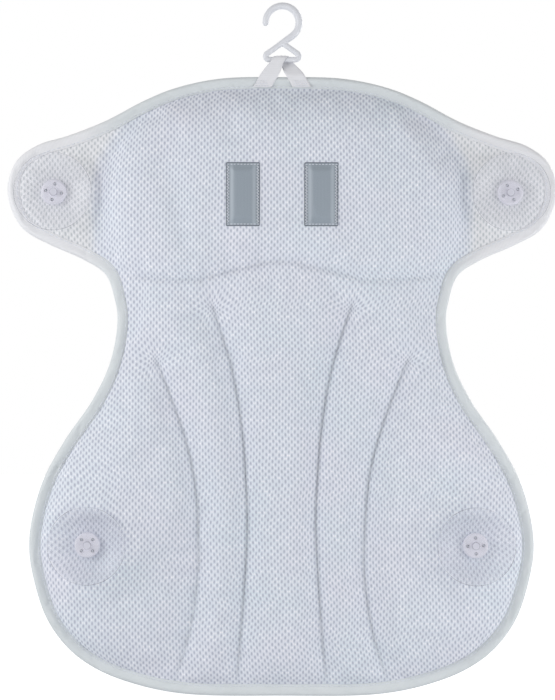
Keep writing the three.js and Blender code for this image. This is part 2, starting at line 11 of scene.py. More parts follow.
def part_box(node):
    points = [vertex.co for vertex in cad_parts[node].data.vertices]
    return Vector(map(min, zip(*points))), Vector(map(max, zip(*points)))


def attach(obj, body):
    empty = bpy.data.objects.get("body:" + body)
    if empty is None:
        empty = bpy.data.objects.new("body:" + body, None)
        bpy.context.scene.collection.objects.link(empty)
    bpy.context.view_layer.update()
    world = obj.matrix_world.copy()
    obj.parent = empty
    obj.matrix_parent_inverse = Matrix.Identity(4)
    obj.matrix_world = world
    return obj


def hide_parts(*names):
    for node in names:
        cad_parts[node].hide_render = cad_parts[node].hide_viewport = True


# A padded bath pillow of air mesh, hanging by its hook with the suction cups towards the camera.
# Shapes are worked out in millimetres and turned to metres when a mesh is made.

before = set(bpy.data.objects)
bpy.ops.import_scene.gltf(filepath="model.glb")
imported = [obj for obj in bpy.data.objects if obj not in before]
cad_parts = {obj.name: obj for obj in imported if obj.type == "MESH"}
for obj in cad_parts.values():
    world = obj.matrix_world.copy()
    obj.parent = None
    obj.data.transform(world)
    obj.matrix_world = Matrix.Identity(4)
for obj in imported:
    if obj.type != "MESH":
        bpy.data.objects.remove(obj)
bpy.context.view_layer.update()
mm = 0.001
print("frame loaded")

# Camera

cameraFacts = {
    "lens": 150,
    "sensor": 36,
    "pictureHeight": 541,  # of the view, at the middle plane of the pad
    "aim": (-3.3, 0, -263.2),
    "roll": 0.1,  # degrees
}


def placeCamera(facts):
    lens = bpy.data.cameras.new("longLens")
    lens.lens = facts["lens"]
    lens.sensor_fit = "VERTICAL"
    lens.sensor_height = facts["sensor"]
    camera = bpy.data.objects.new("camera", lens)
    distance = facts["pictureHeight"] * facts["lens"] / facts["sensor"]
    place = Vector(facts["aim"]) - Vector((0, distance, 0))
    facing = Matrix.Rotation(math.radians(90), 4, "X") @ Matrix.Rotation(math.radians(facts["roll"]), 4, "Z")
    camera.matrix_world = Matrix.Translation(place * mm) @ facing
    bpy.context.scene.collection.objects.link(camera)
    bpy.context.scene.camera = camera


placeCamera(cameraFacts)
bpy.context.scene.view_settings.view_transform = "Standard"
print("camera placed")

# Materials


def toLinear(colour):
    parts = [int(colour[i:i + 2], 16) / 255 for i in (1, 3, 5)]
    return [c / 12.92 if c <= 0.04045 else ((c + 0.055) / 1.055) ** 2.4 for c in parts] + [1]


# The scale at which a wave texture draws one band in so many millimetres
def bandScale(spacing):
    return 1 / (spacing * mm) / 20 * 2 * math.pi


def addNode(tree, kind, settings=None, inputs=None):
    node = tree.nodes.new(kind)
    for name, value in (settings or {}).items():
        setattr(node, name, value)
    for name, value in (inputs or {}).items():
        if isinstance(value, bpy.types.NodeSocket):
            tree.links.new(value, node.inputs[name])
        else:
            node.inputs[name].default_value = value
    return node


def startMaterial(name, sockets):
    material = bpy.data.materials.new(name)
    material.use_nodes = True
    tree = material.node_tree
    tree.nodes.clear()
    shader = addNode(tree, "ShaderNodeBsdfPrincipled", inputs=sockets)
    addNode(tree, "ShaderNodeOutputMaterial", inputs={"Surface": shader.outputs[0]})
    return material, tree, shader


def airMeshMaterial():
    # Polyester air mesh, warp knitted: matt, with staggered diamond holes between pale yarns
    # that catch the light. The holes are painted darker as the shade inside them, and the lit strands
    # get a painted highlight. Lengths are in millimetres, here and in the other materials.
    facts = {
        "yarn": "#e0deea", "coolYarn": "#d3e0e8", "lit": "#fbfaff", "hole": "#b7bbca", "tuckShadeColour": "#9db4bd",
        "earYarn": "#e3e4e7", "earHoleShade": "#c3c7cc", "tintLength": 60,
        "across": 4.6, "along": 5.1,  # from hole to hole
        "narrowing": 0.48, "holeStart": -0.1, "holeFull": 1.15, "litStart": -0.3, "litFull": -0.95,
        "speck": 2.4, "speckLow": 0.3, "speckHigh": 1,  # how far lit strands go to white, in such spots
        "uneven": 0.7, "unevenLength": 8,  # how much the holes differ, and over what length
        "holeDepth": 0.5, "waver": 1.3, "waverLength": 14, "fuzz": 0.6, "fuzzShare": 0.3,
        "tuckReach": 4.5, "tuckShade": 0.08,  # of the cloth where it turns in at its stitches
    }
    material, tree, shader = startMaterial("knittedAirMesh", {
        "Roughness": 0.9, "Sheen Weight": 0.1, "Sheen Roughness": 0.5,
    })
    cloth = addNode(tree, "ShaderNodeAttribute", {"attribute_name": "weave"}).outputs["Vector"]
    away = addNode(tree, "ShaderNodeAttribute", {"attribute_name": "seamAway"}).outputs["Fac"]
    thin = addNode(tree, "ShaderNodeAttribute", {"attribute_name": "unpaddedAndLit"}).outputs["Fac"]
    sway = addNode(tree, "ShaderNodeTexNoise", inputs={
        "Vector": cloth, "Scale": 1 / (facts["waverLength"] * mm), "Detail": 1,
    })
    centred = addNode(tree, "ShaderNodeVectorMath", {"operation": "SUBTRACT"}, {
        0: sway.outputs["Color"], 1: (0.5, 0.5, 0.5),
    })
    moved = addNode(tree, "ShaderNodeVectorMath", {"operation": "MULTIPLY_ADD"}, {
        0: centred.outputs[0], 1: (facts["waver"] * mm,) * 3, 2: cloth,
    })
    turns = (2 * math.pi / (facts["across"] * mm), 2 * math.pi / (facts["along"] * mm), 0)
    scaled = addNode(tree, "ShaderNodeVectorMath", {"operation": "MULTIPLY"}, {0: moved.outputs[0], 1: turns})
    split = addNode(tree, "ShaderNodeSeparateXYZ", inputs={0: scaled.outputs[0]})
    acrossWave = addNode(tree, "ShaderNodeMath", {"operation": "COSINE"}, {0: split.outputs[0]})
    alongWave = addNode(tree, "ShaderNodeMath", {"operation": "COSINE"}, {0: split.outputs[1]})
    doubled = addNode(tree, "ShaderNodeMath", {"operation": "MULTIPLY"}, {0: split.outputs[0], 1: 2})
    narrowWave = addNode(tree, "ShaderNodeMath", {"operation": "COSINE"}, {0: doubled.outputs[0]})
    crossed = addNode(tree, "ShaderNodeMath", {"operation": "MULTIPLY"}, {
        0: acrossWave.outputs[0], 1: alongWave.outputs[0],
    })
    lattice = addNode(tree, "ShaderNodeMath", {"operation": "MULTIPLY_ADD"}, {
        0: narrowWave.outputs[0], 1: facts["narrowing"], 2: crossed.outputs[0],
    })
    differ = addNode(tree, "ShaderNodeTexNoise", inputs={
        "Vector": cloth, "Scale": 1 / (facts["unevenLength"] * mm), "Detail": 2,
    })
    stitched = addNode(tree, "ShaderNodeMath", {"operation": "MULTIPLY_ADD"}, {
        0: differ.outputs["Fac"], 1: facts["uneven"], 2: lattice.outputs[0],
    })
    usual = facts["uneven"] / 2
    hole = addNode(tree, "ShaderNodeMapRange", {"interpolation_type": "SMOOTHSTEP"}, {
        "Value": stitched.outputs[0], "From Min": facts["holeStart"] + usual,
        "From Max": facts["holeFull"] + usual,
    })
    # A painted highlight: the lit strands go towards white, more in some spots than in others.
    specks = addNode(tree, "ShaderNodeTexNoise", inputs={
        "Vector": cloth, "Scale": 1 / (facts["speck"] * mm), "Detail": 1,
    })
    share = addNode(tree, "ShaderNodeMapRange", inputs={
        "Value": specks.outputs["Fac"], "From Min": 0.35, "From Max": 0.65,
        "To Min": facts["speckLow"], "To Max": facts["speckHigh"],
    })
    lit = addNode(tree, "ShaderNodeMapRange", {"interpolation_type": "SMOOTHSTEP"}, {
        "Value": stitched.outputs[0], "From Min": facts["litStart"] + usual,
        "From Max": facts["litFull"] + usual, "To Max": share.outputs[0],
    })
    tint = addNode(tree, "ShaderNodeTexNoise", inputs={
        "Vector": cloth, "Scale": 1 / (facts["tintLength"] * mm), "Detail": 2,
    })
    # Painted shade: the cloth darkens towards its stitches, where it turns in.
    tuck = addNode(tree, "ShaderNodeMapRange", {"interpolation_type": "SMOOTHSTEP"}, {
        "Value": away, "From Max": facts["tuckReach"] * mm, "To Min": facts["tuckShade"], "To Max": 0,
    })
    padYarn = addNode(tree, "ShaderNodeMix", {"data_type": "RGBA"}, {
        0: tint.outputs["Fac"], 6: toLinear(facts["yarn"]), 7: toLinear(facts["coolYarn"]),
    })
    yarn = addNode(tree, "ShaderNodeMix", {"data_type": "RGBA"}, {
        0: thin, 6: padYarn.outputs[2], 7: toLinear(facts["earYarn"]),
    })
    # Painted shade inside the holes, paler on the bare ears.
    holeShade = addNode(tree, "ShaderNodeMix", {"data_type": "RGBA"}, {
        0: thin, 6: toLinear(facts["hole"]), 7: toLinear(facts["earHoleShade"]),
    })
    bright = addNode(tree, "ShaderNodeMix", {"data_type": "RGBA"}, {
        0: lit.outputs[0], 6: yarn.outputs[2], 7: toLinear(facts["lit"]),
    })
    holed = addNode(tree, "ShaderNodeMix", {"data_type": "RGBA"}, {
        0: hole.outputs[0], 6: bright.outputs[2], 7: holeShade.outputs[2],
    })
    colour = addNode(tree, "ShaderNodeMix", {"data_type": "RGBA"}, {
        0: tuck.outputs[0], 6: holed.outputs[2], 7: toLinear(facts["tuckShadeColour"]),
    })
    fuzz = addNode(tree, "ShaderNodeTexNoise", inputs={
        "Vector": cloth, "Scale": 1 / (facts["fuzz"] * mm), "Detail": 1,
    })
    raised = addNode(tree, "ShaderNodeMath", {"operation": "MULTIPLY_ADD"}, {
        0: fuzz.outputs["Fac"], 1: facts["fuzzShare"], 2: 1,
    })
    height = addNode(tree, "ShaderNodeMath", {"operation": "SUBTRACT"}, {
        0: raised.outputs[0], 1: hole.outputs[0],
    })
    bump = addNode(tree, "ShaderNodeBump", inputs={
        "Height": height.outputs[0], "Distance": facts["holeDepth"] * mm, "Strength": 0.45,
    })
    tree.links.new(colour.outputs[2], shader.inputs["Base Color"])
    tree.links.new(bump.outputs[0], shader.inputs["Normal"])
    return material


def tapeMaterial(name, facts):
    # Woven polyester tape, calendered: a low satin gloss over fine ribs, drawn coarser than real to show.
    material, tree, shader = startMaterial(name, {"Roughness": facts["roughness"], "Sheen Weight": 0.1})
    cloth = addNode(tree, "ShaderNodeAttribute", {"attribute_name": "weave"}).outputs["Vector"]
    bands = {"wave_type": "BANDS", "bands_direction": facts["ribsAcross"]}
    ribs = addNode(tree, "ShaderNodeTexWave", bands, {
        "Vector": cloth, "Scale": bandScale(facts["rib"]), "Distortion": facts["stray"], "Detail": 1,
    })
    shade = addNode(tree, "ShaderNodeTexNoise", inputs={
        "Vector": cloth, "Scale": 1 / (facts["blotch"] * mm), "Detail": 3,
    })
    ground = addNode(tree, "ShaderNodeMix", {"data_type": "RGBA"}, {
        0: shade.outputs["Fac"], 6: toLinear(facts["dark"]), 7: toLinear(facts["pale"]),
    })
    between = addNode(tree, "ShaderNodeMath", {"operation": "MULTIPLY"}, {
        0: ribs.outputs["Fac"], 1: facts["ribShade"],
    })
    # On the ears the tape is painted lighter, as painted light: there it lies flat, out of the head's shade.
    thin = addNode(tree, "ShaderNodeAttribute", {"attribute_name": "unpaddedAndLit"}).outputs["Fac"]
    paintedEarLight = addNode(tree, "ShaderNodeMix", {"data_type": "RGBA"}, {
        0: thin, 6: ground.outputs[2], 7: toLinear(facts["litOnEars"]),
    })
    colour = addNode(tree, "ShaderNodeMix", {"data_type": "RGBA"}, {
        0: between.outputs[0], 6: paintedEarLight.outputs[2], 7: toLinear(facts["between"]),
    })
    bump = addNode(tree, "ShaderNodeBump", inputs={
        "Height": ribs.outputs["Fac"], "Distance": facts["ribDepth"] * mm, "Strength": 0.6,
    })
    tree.links.new(colour.outputs[2], shader.inputs["Base Color"])
    tree.links.new(bump.outputs[0], shader.inputs["Normal"])
    return material


def threadMaterial():
    # Spun polyester sewing thread, two plies twisted: pale, with a soft sheen along its twist.
    facts = {"lit": "#eef0f5", "shaded": "#c9cfdb", "twist": 0.5}
    material, tree, shader = startMaterial("twistedThread", {"Roughness": 0.6, "Sheen Weight": 0.3})
    place = addNode(tree, "ShaderNodeTexCoord").outputs["Object"]
    twist = addNode(tree, "ShaderNodeTexWave", {"wave_type": "BANDS", "bands_direction": "DIAGONAL"}, {
        "Vector": place, "Scale": bandScale(facts["twist"]),
    })
    colour = addNode(tree, "ShaderNodeMix", {"data_type": "RGBA"}, {
        0: twist.outputs["Fac"], 6: toLinear(facts["shaded"]), 7: toLinear(facts["lit"]),
    })
    bump = addNode(tree, "ShaderNodeBump", inputs={
        "Height": twist.outputs["Fac"], "Distance": 0.1 * mm, "Strength": 0.5,
    })
    tree.links.new(colour.outputs[2], shader.inputs["Base Color"])
    tree.links.new(bump.outputs[0], shader.inputs["Normal"])
    return material


def mouldedMaterial(name, facts):
    # Injection moulded plastic: an even colour, a fine spark-eroded skin and faint flow clouds.
    material, tree, shader = startMaterial(name, {"IOR": facts["ior"], "Specular IOR Level": 0.5})
    place = addNode(tree, "ShaderNodeTexCoord").outputs["Object"]
    clouds = addNode(tree, "ShaderNodeTexNoise", inputs={
        "Vector": place, "Scale": 1 / (facts["cloud"] * mm), "Detail": 3,
    })
    colour = addNode(tree, "ShaderNodeMix", {"data_type": "RGBA"}, {
        0: clouds.outputs["Fac"], 6: toLinear(facts["dark"]), 7: toLinear(facts["pale"]),
    })
    rough = addNode(tree, "ShaderNodeMapRange", inputs={
        "Value": clouds.outputs["Fac"], "To Min": facts["roughness"] - 0.06,
        "To Max": facts["roughness"] + 0.06,
    })
    grain = addNode(tree, "ShaderNodeTexNoise", inputs={
        "Vector": place, "Scale": 1 / (facts["grain"] * mm), "Detail": 1,
    })
    bump = addNode(tree, "ShaderNodeBump", inputs={
        "Height": grain.outputs["Fac"], "Distance": 0.05 * mm, "Strength": 0.35,
    })
    tree.links.new(colour.outputs[2], shader.inputs["Base Color"])
    tree.links.new(rough.outputs[0], shader.inputs["Roughness"])
    tree.links.new(bump.outputs[0], shader.inputs["Normal"])
    return material


def clearVinylMaterial():
    # Clear soft PVC, moulded and glossy: nearly unseen where thin and milky where thick, with a painted grey
    # shade along its rim.
    facts = {
        "thin": "#cfd0dc", "thick": "#dcdce7", "rim": "#868a95", "faceOn": 0.1, "edgeOn": 0.26, "solid": 0.8,
        # The rim's painted shade shows more in some stretches.
        "rimShadeFaint": 0.1, "rimShadeFull": 0.65, "rimShadeLength": 30,  # the rim shows more in some stretches
        "ripple": 9,
    }
    material, tree, shader = startMaterial("clearMouldedVinyl", {
        "Roughness": 0.3, "IOR": 1.53, "Coat Weight": 0.5, "Coat Roughness": 0.24,
    })
    place = addNode(tree, "ShaderNodeTexCoord").outputs["Object"]
    solid = addNode(tree, "ShaderNodeAttribute", {"attribute_name": "solid"}).outputs["Fac"]
    rim = addNode(tree, "ShaderNodeAttribute", {"attribute_name": "rim"}).outputs["Fac"]
    turned = addNode(tree, "ShaderNodeLayerWeight", inputs={"Blend": 0.3})
    opacity = addNode(tree, "ShaderNodeMapRange", inputs={
        "Value": turned.outputs["Facing"], "To Min": facts["faceOn"], "To Max": facts["edgeOn"],
    })
    stretches = addNode(tree, "ShaderNodeTexNoise", inputs={
        "Vector": place, "Scale": 1 / (facts["rimShadeLength"] * mm), "Detail": 0,
    })
    rimShadeShows = addNode(tree, "ShaderNodeMapRange", {"interpolation_type": "SMOOTHSTEP"}, {
        "Value": stretches.outputs["Fac"], "From Min": 0.4, "From Max": 0.6, "To Min": facts["rimShadeFaint"],
        "To Max": facts["rimShadeFull"],
    })
    line = addNode(tree, "ShaderNodeMath", {"operation": "MULTIPLY"}, {0: rim, 1: rimShadeShows.outputs[0]})
    milky = addNode(tree, "ShaderNodeMath", {"operation": "MULTIPLY"}, {0: solid, 1: facts["solid"]})
    thicker = addNode(tree, "ShaderNodeMath", {"operation": "MAXIMUM"}, {
        0: milky.outputs[0], 1: line.outputs[0],
    })
    covered = addNode(tree, "ShaderNodeMath", {"operation": "MAXIMUM"}, {
        0: opacity.outputs[0], 1: thicker.outputs[0],
    })
    # A painted grey shade along the rim, for the clear edge seen edge on.
    body = addNode(tree, "ShaderNodeMix", {"data_type": "RGBA"}, {
        0: solid, 6: toLinear(facts["thin"]), 7: toLinear(facts["thick"]),
    })
    colour = addNode(tree, "ShaderNodeMix", {"data_type": "RGBA"}, {
        0: rim, 6: body.outputs[2], 7: toLinear(facts["rim"]),
    })
    ripple = addNode(tree, "ShaderNodeTexNoise", inputs={
        "Vector": place, "Scale": 1 / (facts["ripple"] * mm), "Detail": 1,
    })
    bump = addNode(tree, "ShaderNodeBump", inputs={
        "Height": ripple.outputs["Fac"], "Distance": 0.3 * mm, "Strength": 0.25,
    })
    tree.links.new(colour.outputs[2], shader.inputs["Base Color"])
    tree.links.new(covered.outputs[0], shader.inputs["Alpha"])
    tree.links.new(bump.outputs[0], shader.inputs["Normal"])
    return material


def hookTapeMaterial():
    # Nylon hook tape, woven and heat set: a grey satin field of fine upright rows, with a painted highlight
    # in a paler band down each side, and a dark edge that is partly cut edge and partly painted shadow.
    facts = {
        "field": "#89939d", "fieldPale": "#96a0aa", "edge": "#666e78", "beside": "#b4bdc6",
        "row": 1.1, "rowDepth": 0.2, "tuft": 0.8, "width": 26, "height": 49, "cut": 0.9,
        "highlightBandAt": 8.6, "highlightBandReach": 2.2, "highlightBandShare": 0.5,
    }
    material, tree, shader = startMaterial("wovenHookTape", {
        "Roughness": 0.5, "Sheen Weight": 0.25, "Sheen Roughness": 0.4,
    })
    cloth = addNode(tree, "ShaderNodeAttribute", {"attribute_name": "weave"}).outputs["Vector"]
    rows = addNode(tree, "ShaderNodeTexWave", {"wave_type": "BANDS", "bands_direction": "X"}, {
        "Vector": cloth, "Scale": bandScale(facts["row"]), "Distortion": 1.2,
    })
    tufts = addNode(tree, "ShaderNodeTexNoise", inputs={
        "Vector": cloth, "Scale": 1 / (facts["tuft"] * mm), "Detail": 1,
    })
    split = addNode(tree, "ShaderNodeSeparateXYZ", inputs={0: cloth})
    aside = addNode(tree, "ShaderNodeMath", {"operation": "ABSOLUTE"}, {0: split.outputs[0]})
    upward = addNode(tree, "ShaderNodeMath", {"operation": "ABSOLUTE"}, {0: split.outputs[1]})
    # The dark edge: partly the cut edge, partly painted shadow where the tape meets the cover.
    pastSide = addNode(tree, "ShaderNodeMath", {"operation": "SUBTRACT"}, {
        0: aside.outputs[0], 1: (facts["width"] / 2 - facts["cut"]) * mm,
    })
    pastEnd = addNode(tree, "ShaderNodeMath", {"operation": "SUBTRACT"}, {
        0: upward.outputs[0], 1: (facts["height"] / 2 - facts["cut"]) * mm,
    })
    past = addNode(tree, "ShaderNodeMath", {"operation": "MAXIMUM"}, {
        0: pastSide.outputs[0], 1: pastEnd.outputs[0],
    })
    edge = addNode(tree, "ShaderNodeMapRange", {"interpolation_type": "SMOOTHSTEP"}, {
        "Value": past.outputs[0], "From Min": -0.2 * mm, "From Max": 0.3 * mm,
    })
    # A painted highlight: a paler band down each side of the field, where its crown turns towards the lamps.
    offBand = addNode(tree, "ShaderNodeMath", {"operation": "SUBTRACT"}, {
        0: aside.outputs[0], 1: facts["highlightBandAt"] * mm,
    })
    fromBand = addNode(tree, "ShaderNodeMath", {"operation": "ABSOLUTE"}, {0: offBand.outputs[0]})
    beside = addNode(tree, "ShaderNodeMapRange", {"interpolation_type": "SMOOTHSTEP"}, {
        "Value": fromBand.outputs[0], "From Max": facts["highlightBandReach"] * mm, "To Min": facts["highlightBandShare"],
        "To Max": 0,
    })
    field = addNode(tree, "ShaderNodeMix", {"data_type": "RGBA"}, {
        0: tufts.outputs["Fac"], 6: toLinear(facts["field"]), 7: toLinear(facts["fieldPale"]),
    })
    highlighted = addNode(tree, "ShaderNodeMix", {"data_type": "RGBA"}, {
        0: beside.outputs[0], 6: field.outputs[2], 7: toLinear(facts["beside"]),
    })
    colour = addNode(tree, "ShaderNodeMix", {"data_type": "RGBA"}, {
        0: edge.outputs[0], 6: highlighted.outputs[2], 7: toLinear(facts["edge"]),
    })
    height = addNode(tree, "ShaderNodeMath", {"operation": "MULTIPLY_ADD"}, {
        0: tufts.outputs["Fac"], 1: 0.6, 2: rows.outputs["Fac"],
    })
    bump = addNode(tree, "ShaderNodeBump", inputs={
        "Height": height.outputs[0], "Distance": facts["rowDepth"] * mm, "Strength": 0.4,
    })
    tree.links.new(colour.outputs[2], shader.inputs["Base Color"])
    tree.links.new(bump.outputs[0], shader.inputs["Normal"])
    return material


def waddingMaterial():
    # Polyester fibre wadding, carded and bonded: an off-white felt of loose fibres.
    facts = {"fibre": "#f4f4f0", "shadow": "#dcdcd6", "tangle": 3}
    material, tree, shader = startMaterial("bondedWadding", {"Roughness": 1, "Sheen Weight": 0.2})
    place = addNode(tree, "ShaderNodeTexCoord").outputs["Object"]
    tangle = addNode(tree, "ShaderNodeTexNoise", inputs={
        "Vector": place, "Scale": 1 / (facts["tangle"] * mm), "Detail": 5, "Distortion": 1.5,
    })
    colour = addNode(tree, "ShaderNodeMix", {"data_type": "RGBA"}, {
        0: tangle.outputs["Fac"], 6: toLinear(facts["shadow"]), 7: toLinear(facts["fibre"]),
    })
    bump = addNode(tree, "ShaderNodeBump", inputs={
        "Height": tangle.outputs["Fac"], "Distance": 1 * mm, "Strength": 0.7,
    })
    tree.links.new(colour.outputs[2], shader.inputs["Base Color"])
    tree.links.new(bump.outputs[0], shader.inputs["Normal"])
    return material


airMesh = airMeshMaterial()
bindingTape = tapeMaterial("wovenBindingTape", {
    "pale": "#dbdfe1", "dark": "#d0d6d9", "between": "#c8cfd4", "litOnEars": "#e4e4e7", "roughness": 0.65,
    "rib": 1.6, "ribDepth": 0.05, "ribsAcross": "DIAGONAL", "ribShade": 0.1, "blotch": 22, "stray": 1.5,
})
grosgrain = tapeMaterial("grosgrainRibbon", {
    "pale": "#ececef", "dark": "#e0e0e5", "between": "#d2d3da", "litOnEars": "#ececef", "roughness": 0.5,
    "rib": 1.4, "ribDepth": 0.08, "ribsAcross": "Y", "ribShade": 0.2, "blotch": 12, "stray": 0.3,
})
thread = threadMaterial()
hookPlastic = mouldedMaterial("mouldedPolypropylene", {
    "pale": "#e3e4e9", "dark": "#d7d9df", "roughness": 0.36, "ior": 1.49, "cloud": 6, "grain": 0.35,
})
platePlastic = mouldedMaterial("mouldedNylon", {
    "pale": "#eeedf5", "dark": "#e2e1eb", "roughness": 0.42, "ior": 1.53, "cloud": 5, "grain": 0.3,
})
clearVinyl = clearVinylMaterial()
hookTape = hookTapeMaterial()
wadding = waddingMaterial()
print("materials made")

# Lines in the plane of the pad: x across, z up from the middle of its top edge, in millimetres

padFacts = {
    "width": 424, "height": 478, "top": -52.3, "cover": 2.4, "gap": 0.15,
    "edgeInset": 1.0, "hemUnder": 0.3,  # the covers start to rise this far under the tape's inner edge
    # The tape is pulled narrow round the waist.
    "tape": 9.3, "waistTape": 8.1, "waistAt": -188, "waistReach": 42,
    "edgeRoll": 42, "seamRoll": 26, "bolsterRoll": 26, "creaseRoll": 24, "creaseLoss": 0.42, "rise": 0.66,
    # Near its stitches the cloth turns in over a few millimetres, by this share of its height.
    "edgeTuck": (9, 0.08), "seamTuck": (5, 0.14), "creaseTuck": (4, 0.24),
    # The mesh is thick, so it bottoms out above its seams, and more so at the tops of the channels.
    "seamEase": 1.7, "topEase": 1.3, "topEaseLength": 30, "bolsterFloor": 3.2,
    # The hips grow fuller away from their seams, the left one more.
    "hipRise": {-1: 5.8, 1: 3}, "hipReach": 80,
    "lowRoll": 46, "lowFrom": -320, "lowTo": -400,  # low down, the left hip falls to its seam more slowly
    "lump": 0.06, "lumpLength": 34,
    # Each sewn plate pulls the padding in to a bowl, which stands up in a ring under the edge of the cup.
    "earCrown": 1, "seat": 11.5, "bowlStart": 10.5, "bowlEnd": 30, "plateSinks": 0.3,
    "ring": {"ear": 3, "hip": 3.4}, "ringAt": {"ear": 26, "hip": 30}, "ringReach": {"ear": 15, "hip": 21},
    "crowns": {-1: {"head": 16, "body": 12}, 1: {"head": 26, "body": 14}},  # -1 is the suction side
    # Of the cloth's triangles, finer near the stitches and with two more rings near the edge
    "pitch": 5.6, "finePitch": 2.7, "fineReach": 13, "edgePitch": 3.6, "stepPitch": 3.2, "stepBefore": 1.8,
}
onLine = 0.5  # a point of the net this close to a line lies on it, in millimetres
# The right half, bottom to top, as shares of half the width and of the height
outlineShares = [
    (0, -1), (0.356, -0.997), (0.538, -0.981), (0.675, -0.957), (0.774, -0.925), (0.854, -0.877),
    (0.901, -0.816), (0.92, -0.763), (0.91, -0.715), (0.868, -0.651), (0.788, -0.586), (0.689, -0.522),
    (0.623, -0.458), (0.599, -0.393), (0.609, -0.36), (0.642, -0.32), (0.722, -0.296), (0.844, -0.272),
    (0.939, -0.248), (0.986, -0.215), (1, -0.176), (0.967, -0.136), (0.892, -0.111), (0.778, -0.095),
    (0.642, -0.071), (0.505, -0.039), (0.396, -0.019), (0.231, -0.003),
]
innerSeamShares = [
    (0.25, -0.374), (0.182, -0.473), (0.146, -0.565), (0.131, -0.644), (0.125, -0.724), (0.134, -0.816),
    (0.149, -0.904), (0.164, -0.98),
]
outerSeamShares = [
    (0.457, -0.458), (0.4, -0.522), (0.351, -0.586), (0.318, -0.651), (0.303, -0.732), (0.304, -0.816),
    (0.335, -0.9), (0.392, -0.98),
]
bolsterShares = [(0.52, -0.06), (0.599, -0.111), (0.651, -0.155), (0.66, -0.203), (0.653, -0.3)]
creaseShares = [(0, -0.299), (0.151, -0.311), (0.264, -0.324), (0.33, -0.328), (0.509, -0.324), (0.66, -0.3)]


def placed(shares):
    return np.array(shares) * (padFacts["width"] / 2, padFacts["height"])


def mirrored(line):
    return line * (-1, 1)


# A smooth line through points, with new points at an even pitch.
# A power of 0.5 keeps sharp turns from looping.
def smoothLine(points, pitch, closed=False, power=0.0):
    count = len(points)
    dense = []
    for i in range(count if closed else count - 1):
        picks = [i - 1, i, i + 1, i + 2]
        picks = [j % count for j in picks] if closed else [min(max(j, 0), count - 1) for j in picks]
        a, b, c, d = points[picks]
        ab, bc, cd = (max(np.linalg.norm(q - p), 1e-9) ** power for p, q in ((a, b), (b, c), (c, d)))
        leaving = ((b - a) / ab - (c - a) / (ab + bc) + (c - b) / bc) * bc
        arriving = ((c - b) / bc - (d - b) / (bc + cd) + (d - c) / cd) * bc
        t = np.linspace(0, 1, 24, endpoint=False)[:, None]
        squared = 3 * (c - b) - 2 * leaving - arriving
        cubed = 2 * (b - c) + leaving + arriving
        dense.append(b + leaving * t + squared * t ** 2 + cubed * t ** 3)
    dense = np.vstack(dense + [points[:1] if closed else points[-1:]])
    return evenly(dense, pitch, closed)


def runLengths(line):
    return np.concatenate([[0], np.cumsum(np.linalg.norm(np.diff(line, axis=0), axis=1))])


def evenly(line, pitch, closed=False):
    lengths = runLengths(line)
    count = max(int(round(lengths[-1] / pitch)), 2)
    at = np.linspace(0, lengths[-1], count + 1)
    made = np.column_stack([np.interp(at, lengths, line[:, k]) for k in range(line.shape[1])])
    return made[:-1] if closed else made


# The left-hand side of each point of a line, which is the inside of the outline.
def leftOf(line, closed=False):
    before = np.roll(line, 1, axis=0) if closed else np.vstack([line[:1], line[:-1]])
    after = np.roll(line, -1, axis=0) if closed else np.vstack([line[1:], line[-1:]])
    along = after - before
    along /= np.linalg.norm(along, axis=1)[:, None]
    return np.column_stack([-along[:, 1], along[:, 0]])


def distanceTo(points, line, closed=False):
    ends = np.roll(line, -1, axis=0) if closed else line[1:]
    nearest = np.full(len(points), np.inf)
    for start, end in zip(line, ends):
        run = end - start
        share = np.clip((points - start) @ run / max(run @ run, 1e-9), 0, 1)
        nearest = np.minimum(nearest, np.linalg.norm(points - start - share[:, None] * run, axis=1))
    return nearest


# The distance to a seam, eased as if the seam lay a little deeper in the padding, most at its first end.
def distanceToSeam(points, line):
    fromTop = np.linalg.norm(points - line[0], axis=1)
    ease = padFacts["topEase"] * np.clip(1 - fromTop / padFacts["topEaseLength"], 0, 1) ** 2
    return distanceTo(points, line) + padFacts["seamEase"] + ease


def isInside(points, ring):
    inside = np.zeros(len(points), bool)
    for a, b in zip(ring, np.roll(ring, -1, axis=0)):
        if a[1] == b[1]:
            continue
        spans = (a[1] > points[:, 1]) != (b[1] > points[:, 1])
        inside ^= spans & (points[:, 0] < a[0] + (b[0] - a[0]) * (points[:, 1] - a[1]) / (b[1] - a[1]))
    return inside


def readLine(line, known, wanted, at):
    order = np.argsort(line[:, known])
    return np.interp(at, line[order, known], line[order, wanted])


rightOutline = placed(outlineShares)
wholeOutline = np.vstack([rightOutline, [(0, 0)], mirrored(rightOutline[1:])[::-1]])
outline = smoothLine(wholeOutline, 3, True, 0.5)
inward = leftOf(outline, True)


def tapeWidths(line):
    waist = np.exp(-((line[:, 1] - padFacts["waistAt"]) / padFacts["waistReach"]) ** 2)
    return (padFacts["tape"] + (padFacts["waistTape"] - padFacts["tape"]) * waist)[:, None]


hemInset = tapeWidths(outline) - padFacts["hemUnder"]
hem = outline + inward * hemInset
innerSeam = smoothLine(placed(innerSeamShares), padFacts["finePitch"])
outerSeam = smoothLine(placed(outerSeamShares), padFacts["finePitch"])
bolsterSide = smoothLine(placed(bolsterShares), padFacts["finePitch"])
rightCrease = placed(creaseShares)
crease = smoothLine(np.vstack([mirrored(rightCrease[1:])[::-1], rightCrease]), padFacts["finePitch"])
seams = [innerSeam, outerSeam, mirrored(innerSeam), mirrored(outerSeam)]
bolsterSides = [bolsterSide, mirrored(bolsterSide)]
cupNames = ["left_ear", "right_ear", "left_hip", "right_hip"]


def middleOf(node):
    low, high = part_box(node)
    return (low + high) / 2 / mm


cupPlaces = {}
for name in cupNames:
    middle = middleOf(f"{name}_plate")
    cupPlaces[name] = np.array([middle.x, middle.z - padFacts["top"]])

# The swell of the padding


